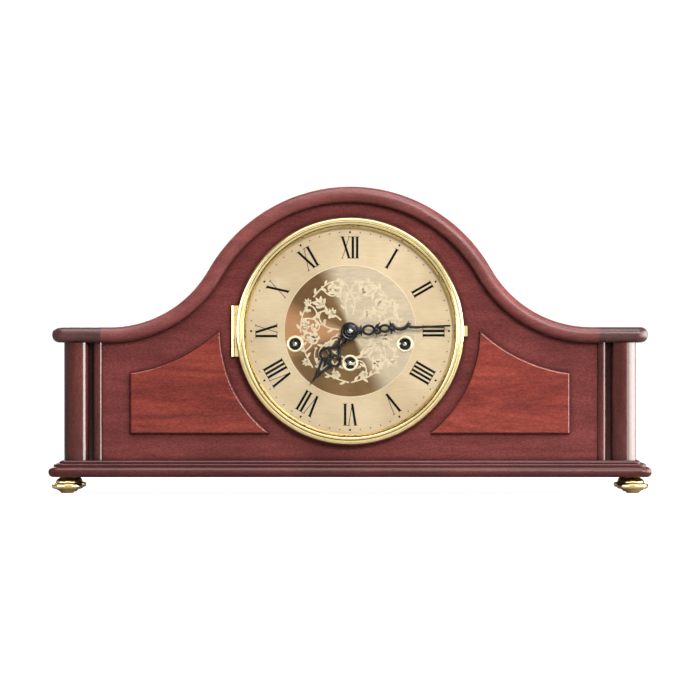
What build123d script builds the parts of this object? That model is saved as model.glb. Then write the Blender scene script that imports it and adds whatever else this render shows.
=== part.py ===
"""Tambour mantel clock with a key-wound, three-train chiming movement.

Millimetres. The clock faces -Y, +X is to the viewer's right and +Z is up. The origin is on the
table, under the middle of the base. Every arbor of the movement lies along Y, so a wheel is an
outline in X and Z with a front and a back Y. Angles in outlines turn anticlockwise as seen from
the front; a clock hand's angle turns clockwise from XII.
"""

import os
from math import acos, atan2, cos, hypot, pi, radians, sin, tan

from build123d import *

# ---------------------------------------------------------------- case, driving dimensions
BASE_WIDTH, BASE_DEPTH, BASE_THICK = 445.0, 150.0, 7.6
FOOT_HEIGHT = 11.8
FOOT_X, FOOT_Y = 208.6, 61.0
CASE_HALF_WIDTH = 211.0
CASE_FLOOR = 24.2  # top of the base moulding, where the walls stand
TOP_Z, SHOULDER_Z = 226.2, 122.5
ARCH_RADIUS, FLARE_RADIUS = 119.6, 84.9
ARCH_THICK = 11.4
TOP_FRONT, TOP_BACK = -66.0, 68.0
CAP_SEAM_X, CAP_END_X = 184.0, 219.8
POST_INNER_X = 182.5
COLUMN_RADIUS, BEAD_RADIUS = 9.25, 3.5
PANEL_FRONT, PANEL_BACK = -58.0, -50.0
SIDE_THICK = 10.0
REAR_FRONT, REAR_BACK = 58.0, 66.0
RAISED_THICK = 3.5
DOOR_HALF_WIDTH, DOOR_FOOT = 94.0, 34.0
DOOR_GAP = 1.0

# ---------------------------------------------------------------- dial, bezel and hands
DIAL_Z = 119.6
DIAL_RADIUS, DIAL_FRONT, DIAL_BACK = 82.5, -59.0, -58.0
DIAL_OPENING = 77.0
BEZEL_OUTER, BEZEL_INNER, BEZEL_BACK = 84.4, 75.2, -59.9
BEZEL_HINGE_X, BEZEL_HINGE_Y = -86.4, -60.2
BEZEL_KNUCKLE, MIDDLE_KNUCKLE, END_KNUCKLE = 1.3, 12.0, 18.8  # radius, and heights from the axis
GLASS_RADIUS, GLASS_THICK, GLASS_EDGE, GLASS_RISE = 79.7, 1.5, -65.3, 5.6
MINUTE_ANGLE, HOUR_ANGLE = 86.7, 217.2
MINUTE_LENGTH, HOUR_LENGTH = 73.5, 49.5

# ---------------------------------------------------------------- movement
FRONT_PLATE, BACK_PLATE = (-44.0, -42.4), (0.0, 1.6)
PLATE_HALF_WIDTH, PLATE_FOOT, PLATE_TOP = 62.0, 56.0, 186.0
RUNNING = 0.1  # radial clearance of every pivot in its hole
PIVOT = 1.0
CORNER_PILLARS = [(x, z) for x in (-57.5, 57.5) for z in (62.0, 180.0)]
MIDDLE_PILLAR = (32.0, 160.0)
BARRELS = {"strike": (-40.5, 110.0), "time": (0.0, 96.0), "chime": (40.5, 110.0)}
WINDING_TURNS = 8

GREAT_TEETH, GREAT_MODULE, PINION_TEETH = 60, 0.675, 10
GREAT_REACH = GREAT_MODULE * (GREAT_TEETH + PINION_TEETH) / 2
SECOND_TEETH, CENTRE_PINION = 60, 15
CENTRE_TEETH, CENTRE_MODULE = 64, 0.45
THIRD_TEETH, THIRD_MODULE = 60, 0.45
CANNON_TEETH, MINUTE_TEETH, MOTION_MODULE = 14, 42, 0.6
MINUTE_PINION, HOUR_TEETH, HOUR_MODULE = 12, 48, 0.56
DRUM_DRIVER, DRUM_TEETH, DRUM_MODULE = 20, 40, 0.7
TRAIN_MODULE = 0.5

# planes of the wheels, front and back
GREAT_PLANE, SECOND_PLANE = (-14.0, -12.0), (-10.4, -9.0)
CENTRE_PLANE, THIRD_PLANE = (-7.6, -6.2), (-4.8, -3.4)
CANNON_PLANE, HOUR_PLANE = (-49.2, -48.0), (-51.6, -50.4)
RATCHET_PLANE = (-46.2, -44.8)
DRUM_PLANE = (3.6, 5.4)
ESCAPE_PLANE = (4.0, 5.0)

# chime rods and hammers, behind the back plate
HAMMER_ROWS = [14.0 + 9.0 * i for i in range(5)]
HAMMER_PIVOT = (14.0, 62.0)
ROD_Z, ROD_RADIUS = 40.0, 1.6
ROD_BLOCK = (-78.0, -56.0)
HAMMER_X, HAMMER_GAP = -20.0, 2.4
BRACKET = (54.5, 56.0)


# ---------------------------------------------------------------- helpers
def polar(centre, distance, angle):
    """The point at a distance and an anticlockwise angle in degrees from a centre in X and Z."""
    return centre[0] + distance * cos(radians(angle)), centre[1] + distance * sin(radians(angle))


def block(x, y, z):
    """A box from three (low, high) pairs."""
    size = [b - a for a, b in (x, y, z)]
    middle = [(a + b) / 2 for a, b in (x, y, z)]
    return Pos(*middle) * Box(*size)


def plate(sketch, span, at=(0, 0), turn=0):
    """A flat outline, drawn in X and Z, with thickness from the first to the second Y of span."""
    front, back = span
    frame = Plane(origin=(at[0], back, at[1]), x_dir=(1, 0, 0), z_dir=(0, -1, 0))
    return extrude(frame * (Rot(0, 0, turn) * sketch), amount=back - front)


def rod(at, radius, span):
    """A round bar along Y."""
    return plate(Circle(radius), span, at)


def outline(points):
    """A closed polygon through a list of points."""
    return make_face(Polyline(*points, close=True))


def bar(start, end, width):
    """The outline of a straight bar between two points, square at its ends."""
    along = (end[0] - start[0], end[1] - start[1])
    length = hypot(*along)
    side = (-along[1] / length * width / 2, along[0] / length * width / 2)
    corners = [(start, 1), (end, 1), (end, -1), (start, -1)]
    return outline([(p[0] + s * side[0], p[1] + s * side[1]) for p, s in corners])


def turned(profile, at=(0, 0)):
    """A turned part: a profile of (radius, y) revolved about an axis along Y."""
    return Pos(at[0], 0, at[1]) * revolve(Plane.XY * outline(profile), Axis.Y)


def mirrored(shape):
    """The same shape on the other side of the clock's middle plane."""
    return mirror(shape, Plane.YZ)


# ---------------------------------------------------------------- case
ARCH_Z = TOP_Z - ARCH_RADIUS
FLARE_Z = SHOULDER_Z + FLARE_RADIUS
TURN = acos(1 - (TOP_Z - SHOULDER_Z) / (ARCH_RADIUS + FLARE_RADIUS))
FLARE_X = (ARCH_RADIUS + FLARE_RADIUS) * sin(TURN)


def tambour_line(inset, end_x):
    """The edges of the top's line, from the left shoulder over the arch to the right one."""
    arch, flare = ARCH_RADIUS - inset, FLARE_RADIUS + inset

    def on_flare(side, angle):
        return side * (FLARE_X - flare * sin(angle)), FLARE_Z - flare * cos(angle)

    edges = [ThreePointArc(on_flare(-1, TURN), (0, ARCH_Z + arch), on_flare(1, TURN))]
    for side in (-1, 1):
        flat = on_flare(side, 0)
        edges.append(ThreePointArc(flat, on_flare(side, TURN / 2), on_flare(side, TURN)))
        edges.append(Line((side * end_x, flat[1]), flat))
    return edges


def tambour(inset, end_x, foot):
    """The whole front outline of the case, inside the top by inset and down to foot."""
    shoulder = SHOULDER_Z - inset
    walls = Polyline((-end_x, shoulder), (-end_x, foot), (end_x, foot), (end_x, shoulder))
    return make_face(tambour_line(inset, end_x) + walls.edges())


def base_board():
    board = Pos(0, 0, FOOT_HEIGHT + BASE_THICK / 2) * Box(BASE_WIDTH, BASE_DEPTH, BASE_THICK)
    board = fillet(board.edges().filter_by(Axis.Z), 7)
    board = fillet(board.faces().sort_by(Axis.Z)[-1].edges(), 3.6)
    board = fillet(board.faces().sort_by(Axis.Z)[0].edges(), 3.6)
    for x in (-FOOT_X, FOOT_X):
        for y in (-FOOT_Y, FOOT_Y):
            board -= Pos(x, y, FOOT_HEIGHT + 2.5) * Cylinder(2 + RUNNING, 5)
    return board


def base_moulding():
    """A rounded step under a cove that runs up to the walls."""
    foot = FOOT_HEIGHT + BASE_THICK
    step_top = foot + 2.3
    step = block((-218.6, 218.6), (-71.1, 71.1), (foot, step_top))
    step = fillet(step.edges().filter_by(Axis.Z), 6)
    step = fillet(step.faces().sort_by(Axis.Z)[-1].edges(), 1.1)
    cove = block((-214.4, 214.4), (-66.9, 69), (step_top, CASE_FLOOR))
    cove = fillet(cove.edges().filter_by(Axis.Z), 4)
    cove = fillet(cove.faces().sort_by(Axis.Z)[-1].edges(), 1.8)
    return step + cove


def front_panel():
    face = tambour(ARCH_THICK, POST_INNER_X, CASE_FLOOR) - Pos(0, DIAL_Z) * Circle(DIAL_OPENING)
    panel = plate(face, (PANEL_FRONT, PANEL_BACK))
    heights = (DIAL_Z - MIDDLE_KNUCKLE, DIAL_Z + MIDDLE_KNUCKLE)
    leaf_bed = block((BEZEL_HINGE_X - 1.8, -73.9), (PANEL_FRONT, PANEL_FRONT + 0.9), heights)
    return panel - leaf_bed


def raised_panel():
    """The left applied panel: its top follows the flare and its right end follows the bezel."""
    face = Pos(-81, 90) * Rectangle(162, 91.8)
    face -= Pos(-FLARE_X, FLARE_Z) * Circle(FLARE_RADIUS + 35)
    face -= Pos(0, DIAL_Z) * Circle(96)
    piece = plate(face, (PANEL_FRONT - RAISED_THICK, PANEL_FRONT))
    return fillet(piece.faces().sort_by(Axis.Y)[0].edges(), 1.3)


def top_arch():
    outer = tambour_line(0, CAP_SEAM_X)
    inner = tambour_line(ARCH_THICK, CAP_SEAM_X)
    foot, top = SHOULDER_Z - ARCH_THICK, SHOULDER_Z
    ends = [Line((x, foot), (x, top)) for x in (-CAP_SEAM_X, CAP_SEAM_X)]
    strip = plate(make_face(outer + inner + ends), (TOP_FRONT, TOP_BACK))
    front = strip.faces().sort_by(Axis.Y)[0].edges()
    return fillet([e for e in front if abs(e.center().X) < CAP_SEAM_X - 0.1], 5.2)


def shoulder_cap():
    """The left end block over the corner post, rounded in plan and along its edges."""
    cap = block((-CAP_END_X, -CAP_SEAM_X), (TOP_FRONT, TOP_BACK), (SHOULDER_Z - ARCH_THICK, SHOULDER_Z))
    ends = cap.edges().filter_by(Axis.Z)
    cap = fillet([e for e in ends if e.center().X < -CAP_END_X + 1], 8)
    seam = -CAP_SEAM_X - 0.1
    rims = [e for e in cap.edges() if e.center().X < seam and abs(e.tangent_at(0.5).Z) < 0.5]
    return fillet(rims, 5.2)


def corner_post():
    """The left corner post: a half-round column and a small bead with a quirk between them."""
    column_x, column_y = -CASE_HALF_WIDTH + COLUMN_RADIUS, -63.5 + COLUMN_RADIUS
    bead_x, bead_y = -POST_INNER_X - BEAD_RADIUS, -60.5 + BEAD_RADIUS
    back = -44.0
    section = Pos(column_x, column_y) * Circle(COLUMN_RADIUS)
    section += Pos(column_x, (column_y + back) / 2) * Rectangle(2 * COLUMN_RADIUS, back - column_y)
    section += Pos(bead_x, bead_y) * Circle(BEAD_RADIUS)
    section += Pos(bead_x, (bead_y + back) / 2) * Rectangle(2 * BEAD_RADIUS, back - bead_y)
    section += Pos((column_x + bead_x) / 2, (-53 + back) / 2) * Rectangle(14, back + 53)
    height = SHOULDER_Z - ARCH_THICK - CASE_FLOOR
    return extrude(Plane.XY.offset(CASE_FLOOR) * section, amount=height)


def side_panel():
    outer = -CASE_HALF_WIDTH + 1.5
    return block((outer, outer + SIDE_THICK), (-44, REAR_FRONT), (CASE_FLOOR, SHOULDER_Z - ARCH_THICK))


def door_outline(grow):
    """The rear door's arched outline, larger by grow all round."""
    half = DOOR_HALF_WIDTH + grow
    foot = DOOR_FOOT - grow
    arc = ThreePointArc((-half, ARCH_Z), (0, ARCH_Z + half), (half, ARCH_Z))
    sides = Polyline((-half, ARCH_Z), (-half, foot), (half, foot), (half, ARCH_Z))
    return make_face(arc.edges() + sides.edges())


def rear_frame():
    outer = CASE_HALF_WIDTH - 1.5
    face = tambour(ARCH_THICK, outer, CASE_FLOOR) - door_outline(DOOR_GAP)
    return plate(face, (REAR_FRONT, REAR_BACK))


def rear_door():
    door = plate(door_outline(0), (REAR_FRONT, REAR_BACK))
    return fillet(door.faces().sort_by(Axis.Y)[-1].edges(), 1.2)


KNOB_AT = (78.0, 100.0)
REAR_HINGE_X, REAR_HINGE_Y = -DOOR_HALF_WIDTH - DOOR_GAP / 2, REAR_BACK + 1.8
REAR_HINGES_Z = (54.0, 96.0)
REAR_KNUCKLE, REAR_LEAF_THICK, REAR_LEAF_REACH = 1.5, 0.8, 12.0


def rear_door_knob():
    profile = [(0, 66), (4.5, 66), (4.5, 67), (2.4, 68), (2.4, 70), (4.8, 71), (5.8, 72.4)]
    return turned(profile + [(5.4, 73.8), (3.6, 74.6), (0, 74.8)], KNOB_AT)


def rear_hinge_leaf(side, z):
    """One leaf: side -1 is the frame's, with the middle knuckle and the pin, and side 1 is the door's."""
    middle, ends = [(-4, 4)], [(-12, -4.2), (4.2, 12)]
    own, other = (ends, middle) if side > 0 else (middle, ends)
    inner, outer = REAR_HINGE_X + side * 0.3, REAR_HINGE_X + side * REAR_LEAF_REACH
    thickness = (REAR_BACK, REAR_BACK + REAR_LEAF_THICK)
    leaf = block(sorted((inner, outer)), thickness, (z - 12, z + 12))
    for low, high in other:
        leaf -= block((REAR_HINGE_X - 2, REAR_HINGE_X + 2), thickness, (z + low - 0.2, z + high + 0.2))
    for low, high in own:
        leaf += Pos(REAR_HINGE_X, REAR_HINGE_Y, z + (low + high) / 2) * Cylinder(REAR_KNUCKLE, high - low)
    pin = Pos(REAR_HINGE_X, REAR_HINGE_Y, z)
    return leaf - pin * Cylinder(0.7 + RUNNING, 24) if side > 0 else leaf + pin * Cylinder(0.7, 24)


def rear_hinge_leaves(side):
    return Compound(children=[rear_hinge_leaf(side, z) for z in REAR_HINGES_Z])


def brass_feet():
    """Four turned feet: a neck, a dome, a wide flange and a small bun that stands on the table."""
    profile = [(0, 0), (4.2, 0), (5.2, 0.9), (5.4, 1.9), (7.6, 3.2), (10.8, 4.6), (11.6, 5.5), (11.2, 6.4)]
    profile += [(8.6, 7.0), (8.2, 8.4), (7.2, 9.8), (5.6, 10.7), (5.4, FOOT_HEIGHT), (0, FOOT_HEIGHT)]
    foot = revolve(Plane.XZ * outline(profile), Axis.Z)
    foot += Pos(0, 0, FOOT_HEIGHT + 2.4) * Cylinder(2, 4.8)
    places = [(x, y) for x in (-FOOT_X, FOOT_X) for y in (-FOOT_Y, FOOT_Y)]
    return Compound(children=[Pos(x, y, 0) * foot for x, y in places])


# ---------------------------------------------------------------- gears
def involute(angle):
    return tan(angle) - angle


def gear_outline(teeth, module, phase):
    """A toothed outline with backlash. The first tooth's middle is at the phase, in radians."""
    pressure = radians(25)
    pitch = module * teeth / 2
    base, tip, root = pitch * cos(pressure), pitch + 0.8 * module, pitch - 1.15 * module
    half = 0.40 * pi / teeth  # half a tooth at the pitch circle, which leaves a fifth of it free

    def half_angle(radius):
        return half + involute(pressure) - involute(acos(min(1.0, base / radius)))

    start = max(base, root)
    flank = [(root, half_angle(start))] + [(r, half_angle(r)) for r in (start, pitch, tip)]
    if root >= base:
        flank = flank[1:]
    points = []
    for i in range(teeth):
        middle = phase + 2 * pi * i / teeth
        sides = [(r, middle - a) for r, a in flank] + [(r, middle + a) for r, a in reversed(flank)]
        points += [(r * cos(a), r * sin(a)) for r, a in sides]
    return outline(points)


def mesh_phase(driver, driver_teeth, driver_phase, driven, teeth):
    """The phase that puts a gap of the driven gear on the driver's tooth, for gears at two places."""
    direction = atan2(driven[1] - driver[1], driven[0] - driver[0])
    share = (direction - driver_phase) * driver_teeth / (2 * pi)
    return direction + pi - (0.5 - share) * 2 * pi / teeth


def wheel(teeth, module, phase, span, windows=5):
    """A brass wheel with round windows between its hub and its rim."""
    face = gear_outline(teeth, module, phase)
    rim, hub = module * teeth / 2 - 2.6, 3.2
    size = (rim - hub) / 2 - 0.3
    if windows and size > 1.2:
        places = PolarLocations((rim + hub) / 2, windows)
        face -= Sketch() + [place * Circle(size) for place in places]
    return plate(face, span)


def pinion(teeth, module, phase, span):
    return plate(gear_outline(teeth, module, phase), span)


def arbor(steps):
    """A turned shaft on the Y axis, from (radius, front, back) steps."""
    shaft = Part()
    for radius, front, back in steps:
        shaft += rod((0, 0), radius, (front, back))
    return shaft


def between_plates(radius=1.5, front=PIVOT, back=PIVOT):
    """An arbor's body between the plates, with a pivot through each plate."""
    inner = (FRONT_PLATE[1] + 0.3, BACK_PLATE[0] - 0.3)
    steps = [(radius, *inner), (front, FRONT_PLATE[0], inner[0]), (back, inner[1], BACK_PLATE[1])]
    return arbor(steps)


# ---------------------------------------------------------------- where the arbors stand
CENTRE = (0.0, DIAL_Z)
SECOND = polar(BARRELS["time"], GREAT_REACH, 49)
SECOND_MODULE = 2 * hypot(SECOND[0] - CENTRE[0], SECOND[1] - CENTRE[1]) / (SECOND_TEETH + CENTRE_PINION)
THIRD = polar(CENTRE, CENTRE_MODULE * (CENTRE_TEETH + PINION_TEETH) / 2, 115)
ESCAPE = polar(THIRD, THIRD_MODULE * (THIRD_TEETH + PINION_TEETH) / 2, 53)
LEVER = (ESCAPE[0], ESCAPE[1] + 11.0)
BALANCE = (ESCAPE[0], ESCAPE[1] + 24.0)
MINUTE_WHEEL = polar(CENTRE, MOTION_MODULE * (CANNON_TEETH + MINUTE_TEETH) / 2, 0)
STRIKE_SECOND = polar(BARRELS["strike"], GREAT_REACH, 100)
CHIME_SECOND = polar(BARRELS["chime"], GREAT_REACH, 240)
DRUM = polar(CHIME_SECOND, DRUM_MODULE * (DRUM_DRIVER + DRUM_TEETH) / 2, -58)

CENTRE_PHASE = 0.0
SECOND_PHASE = mesh_phase(CENTRE, CENTRE_PINION, CENTRE_PHASE, SECOND, SECOND_TEETH)
THIRD_PHASE = mesh_phase(CENTRE, CENTRE_TEETH, CENTRE_PHASE, THIRD, PINION_TEETH)
ESCAPE_PHASE = mesh_phase(THIRD, THIRD_TEETH, THIRD_PHASE, ESCAPE, PINION_TEETH)
MINUTE_PHASE = mesh_phase(CENTRE, CANNON_TEETH, CENTRE_PHASE, MINUTE_WHEEL, MINUTE_TEETH)
HOUR_PHASE = mesh_phase(MINUTE_WHEEL, MINUTE_PINION, MINUTE_PHASE, CENTRE, HOUR_TEETH)
SECOND_ARBORS = {"strike": STRIKE_SECOND, "time": SECOND, "chime": CHIME_SECOND}
SECOND_PINION_PHASE = 0.0
CLICK_OFFSET, CLICK_NOSE = (-10.5, 11.5), (-0.6, 10.2)  # the pivot and the nose, from the winding arbor
CLICK_PIVOTS = {n: (x + CLICK_OFFSET[0], z + CLICK_OFFSET[1]) for n, (x, z) in BARRELS.items()}


def barrel_phase(name):
    return mesh_phase(SECOND_ARBORS[name], PINION_TEETH, SECOND_PINION_PHASE, BARRELS[name], GREAT_TEETH)


# ---------------------------------------------------------------- movement, fixed parts
def pierced_plate(holes, span):
    """A movement plate with rounded corners and round holes, from (place, radius) pairs."""
    face = Pos(0, (PLATE_FOOT + PLATE_TOP) / 2) * Rectangle(2 * PLATE_HALF_WIDTH, PLATE_TOP - PLATE_FOOT)
    face = fillet(face.vertices(), 5)
    for (x, z), radius in holes:
        face -= Pos(x, z) * Circle(radius)
    return plate(face, span)


def front_plate():
    pivots = [(SECOND, PIVOT), (THIRD, PIVOT), (ESCAPE, PIVOT), (STRIKE_SECOND, PIVOT), (CHIME_SECOND, PIVOT)]
    arbors = [(at, 3.0) for at in BARRELS.values()] + [(CENTRE, 1.6)]
    holes = [(at, r + RUNNING) for at, r in pivots + arbors]
    holes += [(at, 2.0) for at in CORNER_PILLARS + [MIDDLE_PILLAR]]
    stud = rod(MINUTE_WHEEL, 1.2, (HOUR_PLANE[0] - 0.8, FRONT_PLATE[0]))
    posts = [rod(at, 0.9, (RATCHET_PLANE[0] - 0.5, FRONT_PLATE[0])) for at in CLICK_PIVOTS.values()]
    return pierced_plate(holes, FRONT_PLATE) + stud + posts


def back_plate():
    pivots = [SECOND, CENTRE, THIRD, STRIKE_SECOND]
    holes = [(at, PIVOT + RUNNING) for at in pivots]
    holes += [(at, 2.0 + RUNNING) for at in BARRELS.values()]
    holes += [(ESCAPE, 1.2 + RUNNING), (CHIME_SECOND, 1.5 + RUNNING), (DRUM, PIVOT + RUNNING)]
    holes += [(BALANCE, 0.8 + RUNNING), (LEVER, 0.8 + RUNNING)]
    holes += [(at, 2.0) for at in CORNER_PILLARS + [MIDDLE_PILLAR]]
    return pierced_plate(holes, BACK_PLATE)


def plate_pillars():
    """Five pillars with riveted ends. The corner ones reach on to the back of the front panel."""
    parts = []
    for at in CORNER_PILLARS + [MIDDLE_PILLAR]:
        pillar = rod(at, 3.2, (FRONT_PLATE[1], BACK_PLATE[0]))
        pillar += rod(at, 2.0, (FRONT_PLATE[0], BACK_PLATE[1] + 0.4))
        pillar += plate(RegularPolygon(3.4, 6), (BACK_PLATE[1], BACK_PLATE[1] + 2.2), at)
        front = PANEL_BACK if at != MIDDLE_PILLAR else FRONT_PLATE[0] - 0.6
        pillar += rod(at, 3.2, (front, FRONT_PLATE[0]))
        parts.append(pillar)
    return Compound(children=parts)


# ---------------------------------------------------------------- barrels, springs and winding
DRUM_SHELL = (-40.0, GREAT_PLANE[0])
BARREL_RADIUS, BARREL_WALL = 18.6, 0.8
RATCHET_TEETH, RATCHET_RADIUS = 20, 9.0
SQUARE, SQUARE_FRONT = 3.6, -57.4


def barrel(name):
    """A drum with the great wheel as its back wall, open inside for the mainspring."""
    shell = rod((0, 0), BARREL_RADIUS, DRUM_SHELL)
    shell -= rod((0, 0), BARREL_RADIUS - BARREL_WALL, (DRUM_SHELL[0] + 1, DRUM_SHELL[1]))
    great = plate(gear_outline(GREAT_TEETH, GREAT_MODULE, barrel_phase(name)), GREAT_PLANE)
    whole = shell + great - rod((0, 0), 2.5 + RUNNING, (DRUM_SHELL[0], GREAT_PLANE[1]))
    x, z = BARRELS[name]
    return Pos(x, 0, z) * whole


def winding_arbor(name):
    """A squared arbor for the key, with its ratchet wheel in front of the front plate."""
    hub_end = GREAT_PLANE[1] + 0.6
    shaft = arbor([(2.5, FRONT_PLATE[1] + 0.5, hub_end), (2.0, hub_end, BACK_PLATE[1])])
    shaft += rod((0, 0), 3.0, (RATCHET_PLANE[0], FRONT_PLATE[1] + 0.5))
    shaft += plate(Rectangle(SQUARE, SQUARE), (SQUARE_FRONT, RATCHET_PLANE[0]))
    points = []
    for i in range(RATCHET_TEETH):
        for radius, share in ((RATCHET_RADIUS, 0.0), (RATCHET_RADIUS - 1.3, 0.12)):
            angle = 2 * pi * (i + share) / RATCHET_TEETH
            points.append((radius * cos(angle), radius * sin(angle)))
    shaft += plate(outline(points), RATCHET_PLANE)
    x, z = BARRELS[name]
    return Pos(x, 0, z) * shaft


def mainspring(name):
    """A flat spiral spring in its barrel, clear of the arbor, with its outer end hooked to the shell."""
    turns, steps, thick = 9, 18, 0.45
    inner, outer = 3.6, BARREL_RADIUS - 1.6
    pitch = (outer - inner) / turns
    spots = [(inner + pitch * i / steps, 2 * pi * i / steps) for i in range(turns * steps + 1)]
    sides = [(r, a) for r, a in spots] + [(r + thick, a) for r, a in reversed(spots)]
    hook = bar((outer, 0), (BARREL_RADIUS - BARREL_WALL, 0), 1.6)
    face = outline([(r * cos(a), r * sin(a)) for r, a in sides]) + hook
    x, z = BARRELS[name]
    return Pos(x, 0, z) * plate(face, (DRUM_SHELL[0] + 2.5, DRUM_SHELL[1] - 1.5))


def click(name):
    """The pawl that lets its ratchet wheel turn one way. Its nose stands just clear of the teeth."""
    face = Circle(2.6) + bar((0, 0), (CLICK_NOSE[0] - CLICK_OFFSET[0], CLICK_NOSE[1] - CLICK_OFFSET[1]), 1.7)
    face -= Circle(0.9 + RUNNING)
    return plate(face, RATCHET_PLANE, CLICK_PIVOTS[name])


# ---------------------------------------------------------------- time train
def centre_arbor():
    """The centre arbor, with its pinion and wheel, and the cannon pinion that carries the minute hand."""
    shaft = arbor([(1.5, FRONT_PLATE[1] + 0.3, -0.3), (PIVOT, -0.3, BACK_PLATE[1])])
    shaft += rod((0, 0), 1.6, (CANNON_PLANE[1], FRONT_PLATE[1] + 0.3))
    pinion_span = (SECOND_PLANE[0] - 0.4, SECOND_PLANE[1] + 0.4)
    shaft += pinion(CENTRE_PINION, SECOND_MODULE, CENTRE_PHASE, pinion_span)
    shaft += wheel(CENTRE_TEETH, CENTRE_MODULE, CENTRE_PHASE, CENTRE_PLANE)
    shaft += pinion(CANNON_TEETH, MOTION_MODULE, CENTRE_PHASE, CANNON_PLANE)
    shaft += rod((0, 0), 2.1, (-64.2, CANNON_PLANE[0]))
    shaft += rod((0, 0), 1.2, (-66.0, -64.2))
    return Pos(CENTRE[0], 0, CENTRE[1]) * shaft


def intermediate_wheel():
    shaft = between_plates()
    front, back = GREAT_PLANE
    shaft += pinion(PINION_TEETH, GREAT_MODULE, SECOND_PINION_PHASE, (front - 0.6, back + 0.6))
    shaft += wheel(SECOND_TEETH, SECOND_MODULE, SECOND_PHASE, SECOND_PLANE)
    return Pos(SECOND[0], 0, SECOND[1]) * shaft


def third_wheel():
    shaft = between_plates()
    front, back = CENTRE_PLANE
    shaft += pinion(PINION_TEETH, CENTRE_MODULE, THIRD_PHASE, (front - 0.4, back + 0.4))
    shaft += wheel(THIRD_TEETH, THIRD_MODULE, THIRD_PHASE, THIRD_PLANE)
    return Pos(THIRD[0], 0, THIRD[1]) * shaft


ESCAPE_TEETH, ESCAPE_RADIUS = 15, 7.4


def escape_wheel():
    shaft = between_plates(back=1.2)
    front, back = THIRD_PLANE
    shaft += pinion(PINION_TEETH, THIRD_MODULE, ESCAPE_PHASE, (front - 0.4, back + 0.4))
    shaft += rod((0, 0), 1.2, (BACK_PLATE[1], ESCAPE_PLANE[1] + 0.4))
    points = []
    for i in range(ESCAPE_TEETH):
        for radius, share in ((5.2, 0.0), (5.4, 0.55), (ESCAPE_RADIUS, 0.86), (ESCAPE_RADIUS, 0.95)):
            angle = 2 * pi * (i + share) / ESCAPE_TEETH
            points.append((radius * cos(angle), radius * sin(angle)))
    face = outline(points)
    face -= Sketch() + [place * Circle(1.25) for place in PolarLocations(3.4, 4)]
    shaft += plate(face, ESCAPE_PLANE)
    return Pos(ESCAPE[0], 0, ESCAPE[1]) * shaft


def pallet_lever():
    """The anchor over the escape wheel, with its fork towards the balance staff."""
    face = bar((-6.4, -3.6), (0, 0.6), 1.6) + bar((6.4, -3.6), (0, 0.6), 1.6) + Circle(2)
    for side in (-1, 1):
        face += bar((side * 6.4, -2.8), (side * 7.4, -5.6), 1.3)
        face += bar((0, 7.8), (side * 1.6, 9.8), 0.9)
    face += bar((0, 0), (0, 8.2), 1.2)
    lever = plate(face, ESCAPE_PLANE)
    return Pos(LEVER[0], 0, LEVER[1]) * (lever + rod((0, 0), 0.8, (BACK_PLATE[0], ESCAPE_PLANE[1] + 1.5)))


BALANCE_PLANE = (7.6, 9.0)
COCK_PLANE = (12.0, 13.6)
COCK_POSTS = [(BALANCE[0] - 15.5, BALANCE[1] - 4), (BALANCE[0] + 15.5, BALANCE[1] - 4)]


def balance_wheel():
    """The balance: a rim on two arms, on a staff between the back plate and the cock."""
    face = Circle(10.2) - Circle(8.6) + Rectangle(18, 1.8) + Circle(2.2)
    made = plate(face, BALANCE_PLANE) + rod((0, 0), 0.8, (BACK_PLATE[0], COCK_PLANE[1] - 0.4))
    made += rod((0, 0), 1.6, (5.8, BALANCE_PLANE[0]))
    return Pos(BALANCE[0], 0, BALANCE[1]) * made


def balance_cock():
    face = bar(COCK_POSTS[0], BALANCE, 5) + bar(BALANCE, COCK_POSTS[1], 5) + Pos(*BALANCE) * Circle(4)
    for post in COCK_POSTS:
        face += Pos(*post) * Circle(3.2)
    made = plate(face - Pos(*BALANCE) * Circle(0.8 + RUNNING), COCK_PLANE)
    for post in COCK_POSTS:
        made += rod(post, 2.2, (BACK_PLATE[1], COCK_PLANE[0]))
    return made


# ---------------------------------------------------------------- motion work and hands
HOUR_PIPE, CANNON_PIPE = 3.3, 2.1


def minute_wheel():
    made = wheel(MINUTE_TEETH, MOTION_MODULE, MINUTE_PHASE, CANNON_PLANE, windows=4)
    made += pinion(MINUTE_PINION, HOUR_MODULE, MINUTE_PHASE, (HOUR_PLANE[0], CANNON_PLANE[0]))
    made -= rod((0, 0), 1.2 + RUNNING, (HOUR_PLANE[0], CANNON_PLANE[1]))
    return Pos(MINUTE_WHEEL[0], 0, MINUTE_WHEEL[1]) * made


def hour_wheel():
    made = wheel(HOUR_TEETH, HOUR_MODULE, HOUR_PHASE, HOUR_PLANE)
    made += rod((0, 0), HOUR_PIPE, (-61.6, HOUR_PLANE[1]))
    made -= rod((0, 0), CANNON_PIPE + RUNNING, (-61.6, HOUR_PLANE[1]))
    return Pos(CENTRE[0], 0, CENTRE[1]) * made


def spike(x, y, length, angle, root=1.1):
    """A small leaf point of a hand, from its root at (x, y) outwards."""
    return Pos(x, y) * Rot(0, 0, angle) * outline([(-root / 2, 0), (root / 2, 0), (0, length)])


def pierced(x, y, radius_x, radius_y, wall):
    """An oval ring of a hand."""
    return Pos(x, y) * (Ellipse(radius_x, radius_y) - Ellipse(radius_x - wall, radius_y - wall))


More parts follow.
